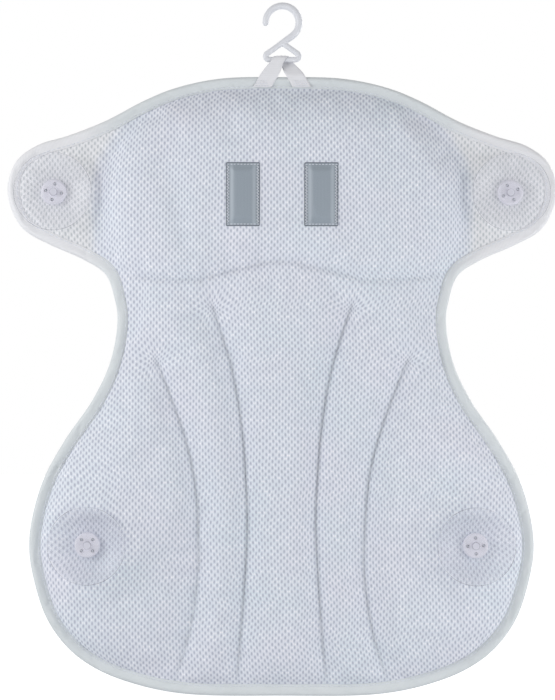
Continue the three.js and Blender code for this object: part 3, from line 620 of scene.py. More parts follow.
def pillowRise(distance, roll):
    return np.sin(np.clip(distance / roll, 0, 1) * math.pi / 2) ** padFacts["rise"]


def tuckedRise(distance, roll, tuck):
    tuckRoll, share = tuck
    return share * pillowRise(distance, tuckRoll) + (1 - share) * pillowRise(distance, roll)


# How lumpy the wadding is at each point, about zero.
def lumps(points, length, seed):
    return np.array([noise.noise(Vector((x / length, z / length, seed))) for x, z in points])


def smoothStep(value, low, high):
    share = np.clip((value - low) / (high - low), 0, 1)
    return share * share * (3 - 2 * share)


def isEar(points):
    neck = bolsterSide[-1][1]
    return (points[:, 1] > neck) & (np.abs(points[:, 0]) > readLine(bolsterSide, 1, 0, points[:, 1]))


# How far the inner face of a cover stands from the middle plane of the pad.
def swell(points, side):
    crowns = padFacts["crowns"][side]
    head = smoothStep(
        points[:, 1] - readLine(crease, 0, 1, points[:, 0]), -padFacts["creaseRoll"], padFacts["creaseRoll"],
    )
    crown = np.where(
        isEar(points), padFacts["earCrown"], crowns["body"] + (crowns["head"] - crowns["body"]) * head,
    )
    fromHem = np.where(isInside(points, hem), distanceTo(points, hem, True), 0)
    fromSeam = np.min([distanceToSeam(points, line) for line in seams], axis=0)
    fromBolster = np.min([distanceTo(points, line) for line in bolsterSides], axis=0)
    if side < 0:
        besideSeam = np.abs(points[:, 0]) > readLine(outerSeam, 1, 0, points[:, 1])
        onHips = besideSeam & (points[:, 1] < outerSeam[0][1])
        fromOuter = np.min([distanceTo(points, line) for line in (outerSeam, mirrored(outerSeam))], axis=0)
        rise = np.where(points[:, 0] < 0, padFacts["hipRise"][-1], padFacts["hipRise"][1])
        crown = crown + rise * onHips * smoothStep(fromOuter, 0, padFacts["hipReach"])
    fromCrease = tuckedRise(distanceTo(points, crease), padFacts["creaseRoll"], padFacts["creaseTuck"])
    kept = 1 - padFacts["creaseLoss"] * (1 - fromCrease)
    fromEdge = tuckedRise(fromHem, padFacts["edgeRoll"], padFacts["edgeTuck"])
    seamRoll = np.full(len(points), float(padFacts["seamRoll"]))
    if side < 0:
        low = smoothStep(-points[:, 1], -padFacts["lowFrom"], -padFacts["lowTo"])
        seamRoll += padFacts["lowRoll"] * low * (onHips & (points[:, 0] < 0))
    full = fromEdge * tuckedRise(fromSeam, seamRoll, padFacts["seamTuck"])
    beside = np.sin(np.clip(fromBolster / padFacts["bolsterRoll"], 0, 1) * math.pi / 2)
    lumpy = 1 + padFacts["lump"] * lumps(points, padFacts["lumpLength"], 3.7 * side)
    height = crown * full * beside * kept * lumpy
    height += padFacts["gap"] + padFacts["bolsterFloor"] * fromEdge * (1 - beside)
    if side < 0:
        for name, place in cupPlaces.items():
            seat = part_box(f"{name}_plate")[1].y / mm  # the plate lies on the cover
            level = -seat + padFacts["plateSinks"] - padFacts["cover"]
            away = np.linalg.norm(points - place, axis=1)
            share = smoothStep(away, padFacts["bowlStart"], padFacts["bowlEnd"])
            ring, at, reach = (padFacts[fact][name.split("_")[1]] for fact in ("ring", "ringAt", "ringReach"))
            height += ring * full * (1 - smoothStep(np.abs(away - at), 0, reach))
            height = level + (height - level) * share
    return height


# Meshes


def makePiece(name, corners, faces, material, body, stands=(), weave=None, marks=None):
    mesh = bpy.data.meshes.new(name)
    mesh.from_pydata((np.array(corners) * mm).tolist(), [], [list(map(int, face)) for face in faces])
    mesh.update()
    mesh.materials.append(material)
    mesh.shade_smooth()
    if weave is not None:
        layer = mesh.attributes.new("weave", "FLOAT_VECTOR", "POINT")
        layer.data.foreach_set("vector", (np.array(weave) * mm).astype(np.float32).ravel())
    for mark, values in (marks or {}).items():
        layer = mesh.attributes.new(mark, "FLOAT", "POINT")
        layer.data.foreach_set("value", np.array(values, np.float32))
    piece = bpy.data.objects.new(name, mesh)
    bpy.context.scene.collection.objects.link(piece)
    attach(piece, body)
    if stands:
        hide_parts(*stands)
    return piece


def faceOutwards(piece):
    shell = bmesh.new()
    shell.from_mesh(piece.data)
    bmesh.ops.recalc_face_normals(shell, faces=shell.faces)
    shell.to_mesh(piece.data)
    shell.free()


# Applies everything that shapes a piece, so that only its mesh is left.
def settleShape(piece):
    made = bpy.data.meshes.new_from_object(piece.evaluated_get(bpy.context.evaluated_depsgraph_get()))
    old = piece.data
    piece.modifiers.clear()
    piece.data = made
    bpy.data.meshes.remove(old)
    made.name = piece.name


# The faces between rings of equal count.
def ringFaces(ringCount, count, closedAlong, capped=False):
    faces = []
    for i in range(ringCount if closedAlong else ringCount - 1):
        here, there = i * count, (i + 1) % ringCount * count
        faces += [
            (here + j, here + (j + 1) % count, there + (j + 1) % count, there + j) for j in range(count)
        ]
    if capped:
        last = (ringCount - 1) * count
        faces += [tuple(range(count))[::-1], tuple(range(last, last + count))]
    return faces


# Covers and wadding


def latticePoints(pitch):
    across = np.arange(-padFacts["width"] / 2, padFacts["width"] / 2, pitch)
    rows = np.arange(-padFacts["height"], 0, pitch * math.sqrt(3) / 2)
    return np.array([(x + (i % 2) * pitch / 2, z) for i, z in enumerate(rows) for x in across])


def netOfCover():
    coarse, fine = padFacts["pitch"], padFacts["finePitch"]
    insets = (padFacts["edgeInset"], hemInset - padFacts["stepBefore"], hemInset)
    pitches = (padFacts["edgePitch"], padFacts["stepPitch"], fine)
    rings = [outline + inward * inset for inset in insets]
    rings = [evenly(np.vstack([ring, ring[:1]]), pitch, True) for ring, pitch in zip(rings, pitches)]
    turn = np.linspace(0, 2 * math.pi, 24, endpoint=False)
    circle = np.column_stack([np.cos(turn), np.sin(turn)]) * padFacts["seat"]
    closedLines = rings + [circle + place for place in cupPlaces.values()]
    openLines = seams + bolsterSides + [crease]
    points, edges = [], []
    for line in closedLines:
        edges += [(len(points) + i, len(points) + (i + 1) % len(line)) for i in range(len(line))]
        points += line.tolist()
    for line in openLines:
        edges += [(len(points) + i, len(points) + i + 1) for i in range(len(line) - 1)]
        points += line.tolist()
    for pitch in (coarse, fine):
        lattice = latticePoints(pitch)
        lattice = lattice[isInside(lattice, rings[0])]
        distances = [distanceTo(lattice, line, True) for line in closedLines]
        distances += [distanceTo(lattice, line) for line in openLines]
        away = np.min(distances, axis=0)
        if pitch == coarse:
            chosen = away >= padFacts["fineReach"]
        else:
            chosen = (away < padFacts["fineReach"] - 2) & (away > 0.62 * fine)
        points += lattice[chosen].tolist()
    net, _, faces, _, _, _ = delaunay_2d_cdt([Vector(p) for p in points], edges, [], 1, 1e-4)
    return np.array([tuple(p) for p in net]), [tuple(face) for face in faces]


# The mean of a grid over a square of cells round each one, three times over, which is close to a soft blur.
def blurred(grid, reach):
    count = 2 * reach + 1
    for _ in range(3):
        for axis in (0, 1):
            padding = [(reach + 1, reach) if k == axis else (0, 0) for k in (0, 1)]
            sums = np.cumsum(np.pad(grid, padding, mode="edge"), axis=axis)
            if axis == 0:
                grid = (sums[count:] - sums[:-count]) / count
            else:
                grid = (sums[:, count:] - sums[:, :-count]) / count
    return grid


weaveFacts = {
    "cell": 2, "steepest": 1.5, "evenOut": 7, "drift": 4.5, "driftLength": 150,
    # Reach, and how much closer the knit lies in the middle
    "topGather": (9, 0.7), "plateGather": (19, 0.35),
}


# Where each point lies on the cloth. The knit looks closer where the padding slopes, and drifts a little.
def clothPlaces(points, side):
    cell = weaveFacts["cell"]
    xs = np.arange(-padFacts["width"] / 2 - cell, padFacts["width"] / 2 + 2 * cell, cell)
    zs = np.arange(-padFacts["height"] - cell, 2 * cell, cell)
    gridX, gridZ = np.meshgrid(xs, zs)
    heights = swell(np.column_stack([gridX.ravel(), gridZ.ravel()]), side).reshape(gridX.shape)
    slopeZ, slopeX = (
        np.clip(slope, -weaveFacts["steepest"], weaveFacts["steepest"])
        for slope in np.gradient(heights, cell)
    )
    column = np.clip((points[:, 0] - xs[0]) / cell, 0, len(xs) - 1.001)
    row = np.clip((points[:, 1] - zs[0]) / cell, 0, len(zs) - 1.001)
    i, j = column.astype(int), row.astype(int)
    u, v = column - i, row - j
    places = []
    for axis, slope in ((1, slopeX), (0, slopeZ)):
        longer = np.cumsum(np.sqrt(1 + slope ** 2) - 1, axis=axis) * cell
        # Far from a slope the knit is as it was, so the longer way is evened out over the cloth round it.
        longer -= blurred(longer, weaveFacts["evenOut"])
        below = longer[j, i] * (1 - u) + longer[j, i + 1] * u
        above = longer[j + 1, i] * (1 - u) + longer[j + 1, i + 1] * u
        read = below * (1 - v) + above * v
        drift = weaveFacts["drift"] * lumps(points, weaveFacts["driftLength"], 11.3 * side + 5 * axis)
        places.append(points[:, 1 - axis] + read + drift)
    # The knit gathers at the top of each seam and, on the suction side, round each sewn plate.
    gathered = np.column_stack(places)
    spots = [(line[0], weaveFacts["topGather"]) for line in seams]
    if side < 0:
        spots += [(place, weaveFacts["plateGather"]) for place in cupPlaces.values()]
    for spot, (reach, closer) in spots:
        away = points - spot
        gathered += away * (closer * np.exp(-(away ** 2).sum(axis=1) / reach ** 2))[:, None]
    return np.column_stack([gathered, np.zeros(len(points))])


net, netFaces = netOfCover()
print("cover net:", len(net), "points,", len(netFaces), "triangles")
sewnDown = np.where(isInside(net, hem), distanceTo(net, hem, True), 0) < onLine
for line in seams + bolsterSides:
    sewnDown |= distanceTo(net, line) < onLine
creaseHeld = distanceTo(net, crease) < onLine
markFacts = {
    "faint": 2.5,  # the bolster's sides and the crease shade the cloth as if this much further off
    "earFrom": 1, "earTo": 12,  # from the bolster's side, over which the padding gives way to the bare ear
}
tucked = [distanceToSeam(net, line) - padFacts["seamEase"] for line in seams]
tucked += [distanceTo(net, line) + markFacts["faint"] for line in bolsterSides + [crease]]
fromBolsters = np.min([distanceTo(net, line) for line in bolsterSides], axis=0)
bare = smoothStep(fromBolsters, markFacts["earFrom"], markFacts["earTo"])
coverMarks = {"seamAway": np.min(tucked, axis=0) * mm, "unpaddedAndLit": np.where(isEar(net), bare, 0)}
clothFacts = {
    "frames": 20, "pressure": 2.0, "spare": 0.014, "cap": 2.6, "creaseHold": 0.7,
    "stretch": 12, "bend": 0.5, "mass": 0.25, "quality": 6,
}


def makeCover(side):
    name = "backCover" if side < 0 else "frontCover"
    node = "back_cover" if side < 0 else "front_cover"
    height = (swell(net, side) + padFacts["cover"]) * side
    corners = np.column_stack([net[:, 0], height, net[:, 1] + padFacts["top"]])
    faces = netFaces if side < 0 else [face[::-1] for face in netFaces]
    cover = makePiece(
        name, corners, faces, airMesh, "pillow", [node], clothPlaces(net, side), coverMarks,
    )
    return cover, corners


def pinCover(cover, side):
    held = sewnDown.astype(float)
    held[creaseHeld] = np.maximum(held[creaseHeld], clothFacts["creaseHold"])
    if side < 0:
        for place in cupPlaces.values():
            held[np.linalg.norm(net - place, axis=1) < padFacts["seat"] + onLine] = 1
    group = cover.vertex_groups.new(name="sewn")
    for weight in np.unique(held[held > 0]):
        group.add(np.flatnonzero(held == weight).tolist(), float(weight), "REPLACE")
    cloth = cover.modifiers.new("padding", "CLOTH")
    settings = cloth.settings
    settings.quality = clothFacts["quality"]
    settings.mass = clothFacts["mass"]
    settings.tension_stiffness = settings.compression_stiffness = clothFacts["stretch"]
    settings.bending_stiffness = clothFacts["bend"]
    settings.use_pressure = True
    settings.uniform_pressure_force = clothFacts["pressure"]
    settings.shrink_min = settings.shrink_max = -clothFacts["spare"]
    settings.vertex_group_mass = "sewn"
    settings.effector_weights.gravity = 0
    cloth.collision_settings.use_collision = False
    cloth.point_cache.frame_end = clothFacts["frames"]


# The covers swell against their seams in a cloth simulation, and no point moves further than the cap.
def swellCovers(covers):
    for side, (cover, _) in covers.items():
        pinCover(cover, side)
    for step in range(1, clothFacts["frames"] + 1):
        bpy.context.scene.frame_set(step)
    graph = bpy.context.evaluated_depsgraph_get()
    for side, (cover, corners) in covers.items():
        made = cover.evaluated_get(graph).to_mesh()
        moved = np.empty(len(corners) * 3, np.float32)
        made.vertices.foreach_get("co", moved)
        shift = moved.reshape(-1, 3) / mm - corners
        far = np.linalg.norm(shift, axis=1)
        furthest, usual = round(float(far.max()), 2), round(float(far.mean()), 2)
        print(cover.name, "swells by up to", furthest, "mm, on average", usual)
        shift *= (np.minimum(far, clothFacts["cap"]) / np.maximum(far, 1e-9))[:, None]
        corners += shift
        cover.modifiers.clear()
        cover.vertex_groups.clear()
        cover.data.vertices.foreach_set("co", (corners * mm).astype(np.float32).ravel())
        cover.data.update()
    bpy.context.scene.frame_set(1)


covers = {side: makeCover(side) for side in (-1, 1)}
swellCovers(covers)
for side, (cover, corners) in covers.items():
    thick = cover.modifiers.new("thickness", "SOLIDIFY")
    thick.thickness = padFacts["cover"] * mm
    thick.offset = -1
    settleShape(cover)
print("covers made")

skins = {
    side: BVHTree.FromObject(cover, bpy.context.evaluated_depsgraph_get())
    for side, (cover, _) in covers.items()
}


# Points on the outside of a cover, lifted by a distance, with the directions that the cover faces there.
def onCover(points, side, lift=0.0):
    places, facings = [], []
    for x, z in points:
        hit, facing, _, _ = skins[side].ray_cast(
            Vector((x, side * 200, z + padFacts["top"])) * mm, Vector((0, -side, 0)),
        )
        places.append(np.array(hit) / mm + np.array(facing) * lift)
        facings.append(np.array(facing))
    return np.array(places), np.array(facings)


def withoutPinches(faces):
    edges = {(a, b) for face in faces for a, b in zip(face, face[1:] + face[:1])}
    rims = {}
    for a, b in edges:
        if (b, a) not in edges:
            rims[a] = rims.get(a, 0) + 1
    kept = [face for face in faces if all(rims.get(i, 0) < 2 for i in face)]
    return kept if len(kept) == len(faces) else withoutPinches(kept)


waddingFacts = {
    "slack": 0.8,  # between the wadding and each cover
    "thinnest": 1,  # on each side of the middle plane
    "part": 0.2,  # by which the crease parts the head's wadding from the rest, each way
}


def makeWadding():
    facts = waddingFacts
    backSkin, frontSkin = covers[-1][1], covers[1][1]
    back = -backSkin[:, 1] - padFacts["cover"] - facts["slack"]
    front = frontSkin[:, 1] - padFacts["cover"] - facts["slack"]
    middles = np.array([net[list(face)].mean(axis=0) for face in netFaces])
    aboveCrease = middles[:, 1] > readLine(crease, 0, 1, middles[:, 0])
    betweenSeams = np.abs(middles[:, 0]) < readLine(outerSeam, 1, 0, middles[:, 1])
    inChannels = (middles[:, 1] > outerSeam[0][1]) | betweenSeams
    ear = isEar(middles)
    pockets = {
        "head": aboveCrease & ~ear,
        "channel": ~aboveCrease & inChannels,
        "left_hip": ~aboveCrease & ~inChannels & (middles[:, 0] < 0),
        "right_hip": ~aboveCrease & ~inChannels & (middles[:, 0] > 0),
    }
    labels = {
        "head": "headWadding", "channel": "channelWadding", "left_hip": "leftHipWadding",
        "right_hip": "rightHipWadding",
    }
    for pocket, chosen in pockets.items():
        faces = [
            netFaces[i] for i in np.flatnonzero(chosen)
            if all(min(back[k], front[k]) > facts["thinnest"] for k in netFaces[i])
        ]
        faces = withoutPinches(faces)
        used = sorted({k for face in faces for k in face})
        number = {k: i for i, k in enumerate(used)}
        rise = np.where(creaseHeld[used], facts["part"] if pocket == "head" else -facts["part"], 0)
        corners = np.vstack([
            np.column_stack([backSkin[used, 0], -back[used], backSkin[used, 2] + rise]),
            np.column_stack([frontSkin[used, 0], front[used], frontSkin[used, 2] + rise]),
        ])
        edges = {(a, b) for face in faces for a, b in zip(face, face[1:] + face[:1])}
        count = len(used)
        sides = [
            (number[a], number[a] + count, number[b] + count, number[b]) for a, b in edges
            if (b, a) not in edges
        ]
        low = [tuple(number[k] for k in face) for face in faces]
        high = [tuple(number[k] + count for k in face[::-1]) for face in faces]
        piece = makePiece(
            labels[pocket], corners, low + high + sides, wadding, "pillow", [f"{pocket}_filling"],
        )
        faceOutwards(piece)


makeWadding()
print("wadding made")

# Sewing thread


# One mesh of short stitches. Each is an arched capsule between two points, over a surface that faces a way.
def makeThread(name, stitches, radius, lift, body="pillow"):
    stations, sides = 5, 6
    corners, faces = [], []
    share = np.linspace(0, 1, stations)
    arch = np.sin(share * math.pi)
    thick = radius * (0.55 + 0.45 * arch ** 0.5)
    turn = np.linspace(0, 2 * math.pi, sides, endpoint=False)
    for start, end, facing in stitches:
        along = (end - start) / np.linalg.norm(end - start)
        beside = np.cross(along, facing)
        beside /= np.linalg.norm(beside)
        up = np.cross(beside, along)
        base = len(corners)
        for s, a, r in zip(share, arch, thick):
            middle = start + (end - start) * s + facing * (lift * (2 * a - 1))
            corners += [middle + r * (math.cos(t) * beside + math.sin(t) * up) for t in turn]
        faces += [tuple(base + k for k in face) for face in ringFaces(stations, sides, False, True)]
    piece = makePiece(name, corners, faces, thread, body)
    faceOutwards(piece)
    return piece


def runningStitches(places, facings, length, gap):
    lengths = runLengths(places)
    starts = np.arange(gap, lengths[-1] - length, length + gap)

    def read(values, at):
        return np.array([np.interp(at, lengths, values[:, k]) for k in range(3)])

    return [(read(places, s), read(places, s + length), read(facings, s + length / 2)) for s in starts]


seamFacts = {
    "stitch": 3.0, "gap": 0.7, "radius": 0.28, "lift": 0.12, "start": 3, "end": 4,
    "follow": 1.5, "above": 0.1,  # how closely the thread follows the cloth, and how far above it it lies
}


def sewSeams(side):
    stitches = []
    for line in seams:
        lengths = runLengths(line)
        at = np.arange(seamFacts["start"], lengths[-1] - seamFacts["end"], seamFacts["follow"])
        points = np.column_stack([np.interp(at, lengths, line[:, k]) for k in range(2)])
        places, facings = onCover(points, side, seamFacts["above"])
        facings[:] = (0, side, 0)
        stitches += runningStitches(places, facings, seamFacts["stitch"], seamFacts["gap"])
    makeThread(
        "backSeamThread" if side < 0 else "frontSeamThread", stitches, seamFacts["radius"], seamFacts["lift"],
    )


for side in (-1, 1):
    sewSeams(side)
print("channels sewn")

# Binding

tapeFacts = {
    "width": 10, "inside": 2.68, "half": 3.55,
    # One face from its inner edge to the fold: how far from the fold, and how much under the half thickness
    "face": (
        (10, 0.45), (9.5, 0.25), (8.3, 0.4), (6.9, 0), (5.4, -0.35), (3.9, -0.6), (2.6, -0.6),
        (1.5, -0.15), (0.6, 0.8), (0.1, 2.1),
    ),
    "stitched": 3, "wall": 0.8,  # which point of a face is stitched down, and the fold's thickness
    "bulge": 0.3, "pucker": 0.25, "puckerLength": 6.5, "waver": 0.4, "waverLength": 18, "pitch": 1.2,
    "fold": 0.6, "foldLength": 30, "foldSlant": 0.32,  # long soft folds across the tape at a slant
    # And sharper ones between them
    "crease": 0.75, "creaseWidth": 0.07, "creaseLength": 34, "creaseSlant": 0.045,
    # On the ears the tape gets painted light.
    "earFrom": 118, "earTo": 160, "earAbove": -170,  # where the tape lies on the ears
    "stitch": 3.2, "gap": 0.8, "radius": 0.3, "lift": 0.12,
}


def makeBinding():
    facts = tapeFacts
    half, inside = facts["half"], facts["inside"]
    face = [(facts["width"], -inside)] + [(inset, -half + under) for inset, under in facts["face"]]
    section = face + [(0, 0)] + [(inset, -depth) for inset, depth in face[::-1]]
    section += [(facts["wall"], inside), (facts["wall"], -inside)]
    edge = smoothLine(wholeOutline, facts["pitch"], True, 0.5)
    lengths = runLengths(np.vstack([edge, edge[:1]]))
    corners, weave, litOnEars = [], [], []
    narrowed = tapeWidths(edge)[:, 0] / facts["width"]
    for i, (point, into) in enumerate(zip(edge, leftOf(edge, True))):
        s = lengths[i]
        angle = 2 * math.pi * s / lengths[-1]
        loop = Vector((math.cos(angle), math.sin(angle), 0)) * lengths[-1] / (2 * math.pi)
        for k, (inset, depth) in enumerate(section):
            side = -1 if depth < 0 else 1
            onFace = k < len(section) - 2
            crown = math.sin(math.pi * min(max(inset / facts["width"], 0), 1)) if onFace else 0
            gather = noise.noise(loop / facts["puckerLength"] + Vector((0, 0, 5.3 * side)))
            waver = noise.noise(loop / facts["waverLength"] + Vector((0, 0, 2.1 * side)))
            slant = facts["foldSlant"] * inset
            fold = noise.noise(loop / facts["foldLength"] + Vector((0, 0, slant + 9.1 * side)))
            lean = facts["creaseSlant"] * inset * facts["creaseLength"] / facts["width"]
            crossing = noise.noise(loop / facts["creaseLength"] + Vector((0, 0, lean + 4.7 * side)))
            crease = math.exp(-(crossing / facts["creaseWidth"]) ** 2)
            raised = facts["bulge"] * (0.5 + waver) + facts["pucker"] * gather + facts["fold"] * fold
            out = depth + side * crown * raised
            out -= side * crown * facts["crease"] * crease
            wavers = facts["waver"] * waver * (inset / facts["width"]) ** 2
            place = point + into * (inset * narrowed[i] + wavers)
            corners.append((place[0], out, place[1] + padFacts["top"]))
            weave.append((s, inset * side, 0))
            # How much painted light the tape gets for lying on an ear.
            earLight = float(smoothStep(abs(place[0]), facts["earFrom"], facts["earTo"]))
            litOnEars.append(earLight * (place[1] > facts["earAbove"]))
    count = len(section)
    piece = makePiece(
        "edgeBinding", corners, ringFaces(len(edge), count, True), bindingTape, "pillow",
        ["edge_binding"], weave, {"unpaddedAndLit": litOnEars},
    )
    faceOutwards(piece)
    rows = np.array(corners).reshape(len(edge), count, 3)
    stitches = []
    for k, side in ((facts["stitched"], -1), (2 * len(face) - facts["stitched"], 1)):
        path = np.vstack([rows[:, k], rows[:1, k]]) + (0, side * facts["lift"], 0)
        facings = np.tile((0.0, side, 0.0), (len(path), 1))
        stitches += runningStitches(path, facings, facts["stitch"], facts["gap"])
    makeThread("bindingThread", stitches, facts["radius"], facts["lift"])


makeBinding()
print("binding made")

# Fastening patches

patchFacts = {
    "width": 26, "height": 49, "corner": 1, "rim": 0.6, "rimRound": 0.3,
    "sewn": 1.6, "sewnDip": 0.25, "crown": 2.4, "crownRoll": 7.5, "above": 0.1,
    "zigzagWidth": 1.7, "zigzagPitch": 2.3, "zigzagShort": 1,
    "stitch": 1.8, "stitchGap": 0.75, "overrun": 0.8,
    "threadRadius": 0.3, "threadAbove": 0.2, "threadLift": 0.1,
}


def patchRise(x, z):
    facts = patchFacts
    fromEdge = min(halfWidthAt(z) - abs(x), facts["height"] / 2 - abs(z))
    crown = facts["crown"] * float(smoothStep(fromEdge, facts["sewn"], facts["crownRoll"]))
    pressed = facts["sewnDip"] * max(1 - abs(fromEdge - facts["sewn"]) / (facts["sewn"] / 2), 0)
    return facts["rim"] * min(max(fromEdge, 0) / facts["rimRound"], 1) + crown - pressed


def halfWidthAt(z):
    corner = patchFacts["corner"]
    over = abs(z) - (patchFacts["height"] / 2 - corner)
    rounded = corner - math.sqrt(max(corner ** 2 - over ** 2, 0)) if over > 0 else 0
    return patchFacts["width"] / 2 - rounded


def makePatch(side):
    facts = patchFacts
    node = f"{side}_fastening_patch"
    middle = middleOf(node)
    place = np.array([middle.x, middle.z - padFacts["top"]])
    # The grid is finer towards the edges.
    across = np.sin(np.linspace(-0.5, 0.5, 41) * math.pi)
    up = np.sin(np.linspace(-0.5, 0.5, 55) * math.pi) * facts["height"] / 2
    grid = np.array([(u * halfWidthAt(z), z) for z in up for u in across])
    ground, _ = onCover(grid + place, -1)
    rises = np.array([patchRise(x, z) for x, z in grid])
    faceLayer = ground - np.column_stack([0 * rises, rises, 0 * rises])
    backLayer = ground - (0, facts["above"], 0)
    columns, rows, count = len(across), len(up), len(grid)
    front = [
        (j * columns + i, j * columns + i + 1, (j + 1) * columns + i + 1, (j + 1) * columns + i)
        for j in range(rows - 1) for i in range(columns - 1)
    ]
    back = [tuple(k + count for k in face[::-1]) for face in front]
    rim = list(range(columns))
    rim += [j * columns + columns - 1 for j in range(1, rows)]
    rim += [(rows - 1) * columns + i for i in range(columns - 2, -1, -1)]
    rim += [j * columns for j in range(rows - 2, 0, -1)]
    sides = [(b, a, a + count, b + count) for a, b in zip(rim, rim[1:] + rim[:1])]
    weave = np.column_stack([grid, np.zeros(count)])
    label = f"{side}FasteningPatch"
    piece = makePiece(
        label, np.vstack([faceLayer, backLayer]), front + back + sides, hookTape, "pillow",
        [node], np.vstack([weave, weave]),
    )
    faceOutwards(piece)
    # Zigzag stitches run down its sides and plain ones along its ends.
    facing = np.array((0.0, -1.0, 0.0))
    halfX, halfZ = facts["width"] / 2 - facts["sewn"], facts["height"] / 2 - facts["sewn"]
    lines = []
    for end in (-1, 1):
        highest = halfZ - facts["zigzagShort"]
        steps = np.arange(-highest, highest, facts["zigzagPitch"] / 2)
        swing = np.where(np.arange(len(steps)) % 2, 0.5, -0.5) * facts["zigzagWidth"]
        zigzag = np.column_stack([end * halfX + swing, steps])
        lines += list(zip(zigzag, zigzag[1:]))
        starts = np.arange(-halfX - facts["overrun"], halfX, facts["stitch"] + facts["stitchGap"])
        lines += [(np.array((s, end * halfZ)), np.array((s + facts["stitch"], end * halfZ))) for s in starts]
    ends = np.array(lines).reshape(-1, 2)
    spots, _ = onCover(ends + place, -1)
    spots[:, 1] -= [patchRise(x, z) + facts["threadAbove"] for x, z in ends]
    stitches = [(a, b, facing) for a, b in zip(spots[::2], spots[1::2])]
    makeThread(
        f"{side}PatchThread", stitches, facts["threadRadius"], facts["threadLift"],
    )


for side in ("left", "right"):
    makePatch(side)
print("patches made")

# Hook

hookFacts = {
    "bore": 20.3, "rod": 5.5, "tip": 5.0, "eyeRod": 4.4, "drop": 38.8, "corner": 2.6,
    "fall": 35, "tipAngle": 181,  # degrees
    "sides": 28, "skin": 0.38,  # size of the faces of the moulded skin
}


def arcPoints(centre, radius, start, end, steps):
    turn = np.radians(np.linspace(start, end, steps))
    return np.column_stack([centre[0] + radius * np.cos(turn), centre[1] + radius * np.sin(turn)])


# The corners and faces of a round rod along a path in the plane y = 0.
def rodMesh(path, radii, sides):
    before = np.vstack([path[:1], path[:-1]])
    after = np.vstack([path[1:], path[-1:]])
    along = (after - before) / np.linalg.norm(after - before, axis=1)[:, None]
    turn = np.linspace(0, 2 * math.pi, sides, endpoint=False)
    corners = [
        (p[0] + a[1] * r * math.cos(t), r * math.sin(t), p[1] - a[0] * r * math.cos(t))
        for p, a, r in zip(path, along, radii) for t in turn
    ]
    return corners, ringFaces(len(path), sides, False, True)


def makeHook():
    facts = hookFacts
    fall = math.radians(facts["fall"])
    crown = (0, -facts["bore"] / 2)
    bendRadius = (facts["bore"] + facts["rod"]) / 2
    eyeRadius = facts["eyeRod"] / 2
    bend = arcPoints(crown, bendRadius, facts["tipAngle"], facts["fall"] - 90, 60)
    thicker = np.clip(np.linspace(0, 2, len(bend)), 0, 1)
    bendRadii = facts["tip"] / 2 + (facts["rod"] - facts["tip"]) / 2 * thicker
    capTurn = np.radians(np.linspace(90, 12, 6))
    capAngles = facts["tipAngle"] + np.degrees(np.sin(capTurn) * facts["tip"] / 2 / bendRadius)
    cap = np.vstack([arcPoints(crown, bendRadius, angle, angle, 1) for angle in capAngles])
    capRadii = facts["tip"] / 2 * np.maximum(np.cos(capTurn), 0.02)
    cornerHeight = facts["corner"] - facts["drop"]
    bendEnd = bend[-1]
    fallen = math.cos(fall) * (cornerHeight - bendEnd[1])
    cornerOut = (-facts["corner"] - math.sin(fall) * bendEnd[0] - fallen) / math.sin(fall)
    apex = np.array([0, cornerHeight + (facts["corner"] + math.sin(fall) * cornerOut) / math.cos(fall)])
    downLeft = -np.array([math.cos(fall), math.sin(fall)])
    # The neck thins to the eye's rod and ends inside it.
    neck = [bendEnd + (apex - bendEnd) * s for s in np.linspace(0.2, 1, 6)]
    neck += [apex + downLeft * s for s in (2, 4, 6)]
    neckRadii = np.linspace(facts["rod"] / 2, eyeRadius * 1.12, 6).tolist()
    neckRadii += [eyeRadius * 1.08, eyeRadius, eyeRadius * 0.6]
    stem = rodMesh(
        np.vstack([cap, bend, neck]), np.concatenate([capRadii, bendRadii, neckRadii]), facts["sides"],
    )
    rightCorner = arcPoints((cornerOut, cornerHeight), facts["corner"], 90 - facts["fall"], -90, 14)
    leftCorner = arcPoints((-cornerOut, cornerHeight), facts["corner"], -90, -270 + facts["fall"], 14)
    eyePath = np.vstack([apex, rightCorner, leftCorner, apex + downLeft * 2])
    eye = rodMesh(eyePath, np.full(len(eyePath), eyeRadius), facts["sides"])
    corners = stem[0] + eye[0]
    faces = stem[1] + [tuple(k + len(stem[0]) for k in face) for face in eye[1]]
    hook = makePiece("hangingHook", corners, faces, hookPlastic, "hook", ["hanging_hook"])
    skin = hook.modifiers.new("oneMoulding", "REMESH")
    skin.mode = "VOXEL"
    skin.voxel_size = facts["skin"] * mm
    skin.use_smooth_shade = True
    soften = hook.modifiers.new("filletsAtTheJoins", "SMOOTH")
    soften.factor = 0.5
    soften.iterations = 6
    settleShape(hook)
    hook.data.shade_smooth()


makeHook()
print("hook made")

# Hanging loop

loopFacts = {
    "width": 13, "footWidth": 14.4, "barWidth": 10.4, "thickness": 0.6, "drop": 13.5, "wrap": 2.6,
    "face": -3.85, "foot": 8.2, "spread": 15.4, "atBar": 4.4, "clearOfEye": 2.6, "bend": 1.2,
    "pitch": 0.8, "narrows": 12,  # over this length to the bar
    "gather": 0.18, "gathers": 3.5, "dish": 0.12,  # ripples across the ribbon
    "rows": (-7, -5.2, -3.4), "rowReach": 5.6, "rowLean": 0.3, "threadAbove": 0.32,
    "stitch": 1.6, "gap": 0.5, "radius": 0.22, "lift": 0.08,
}


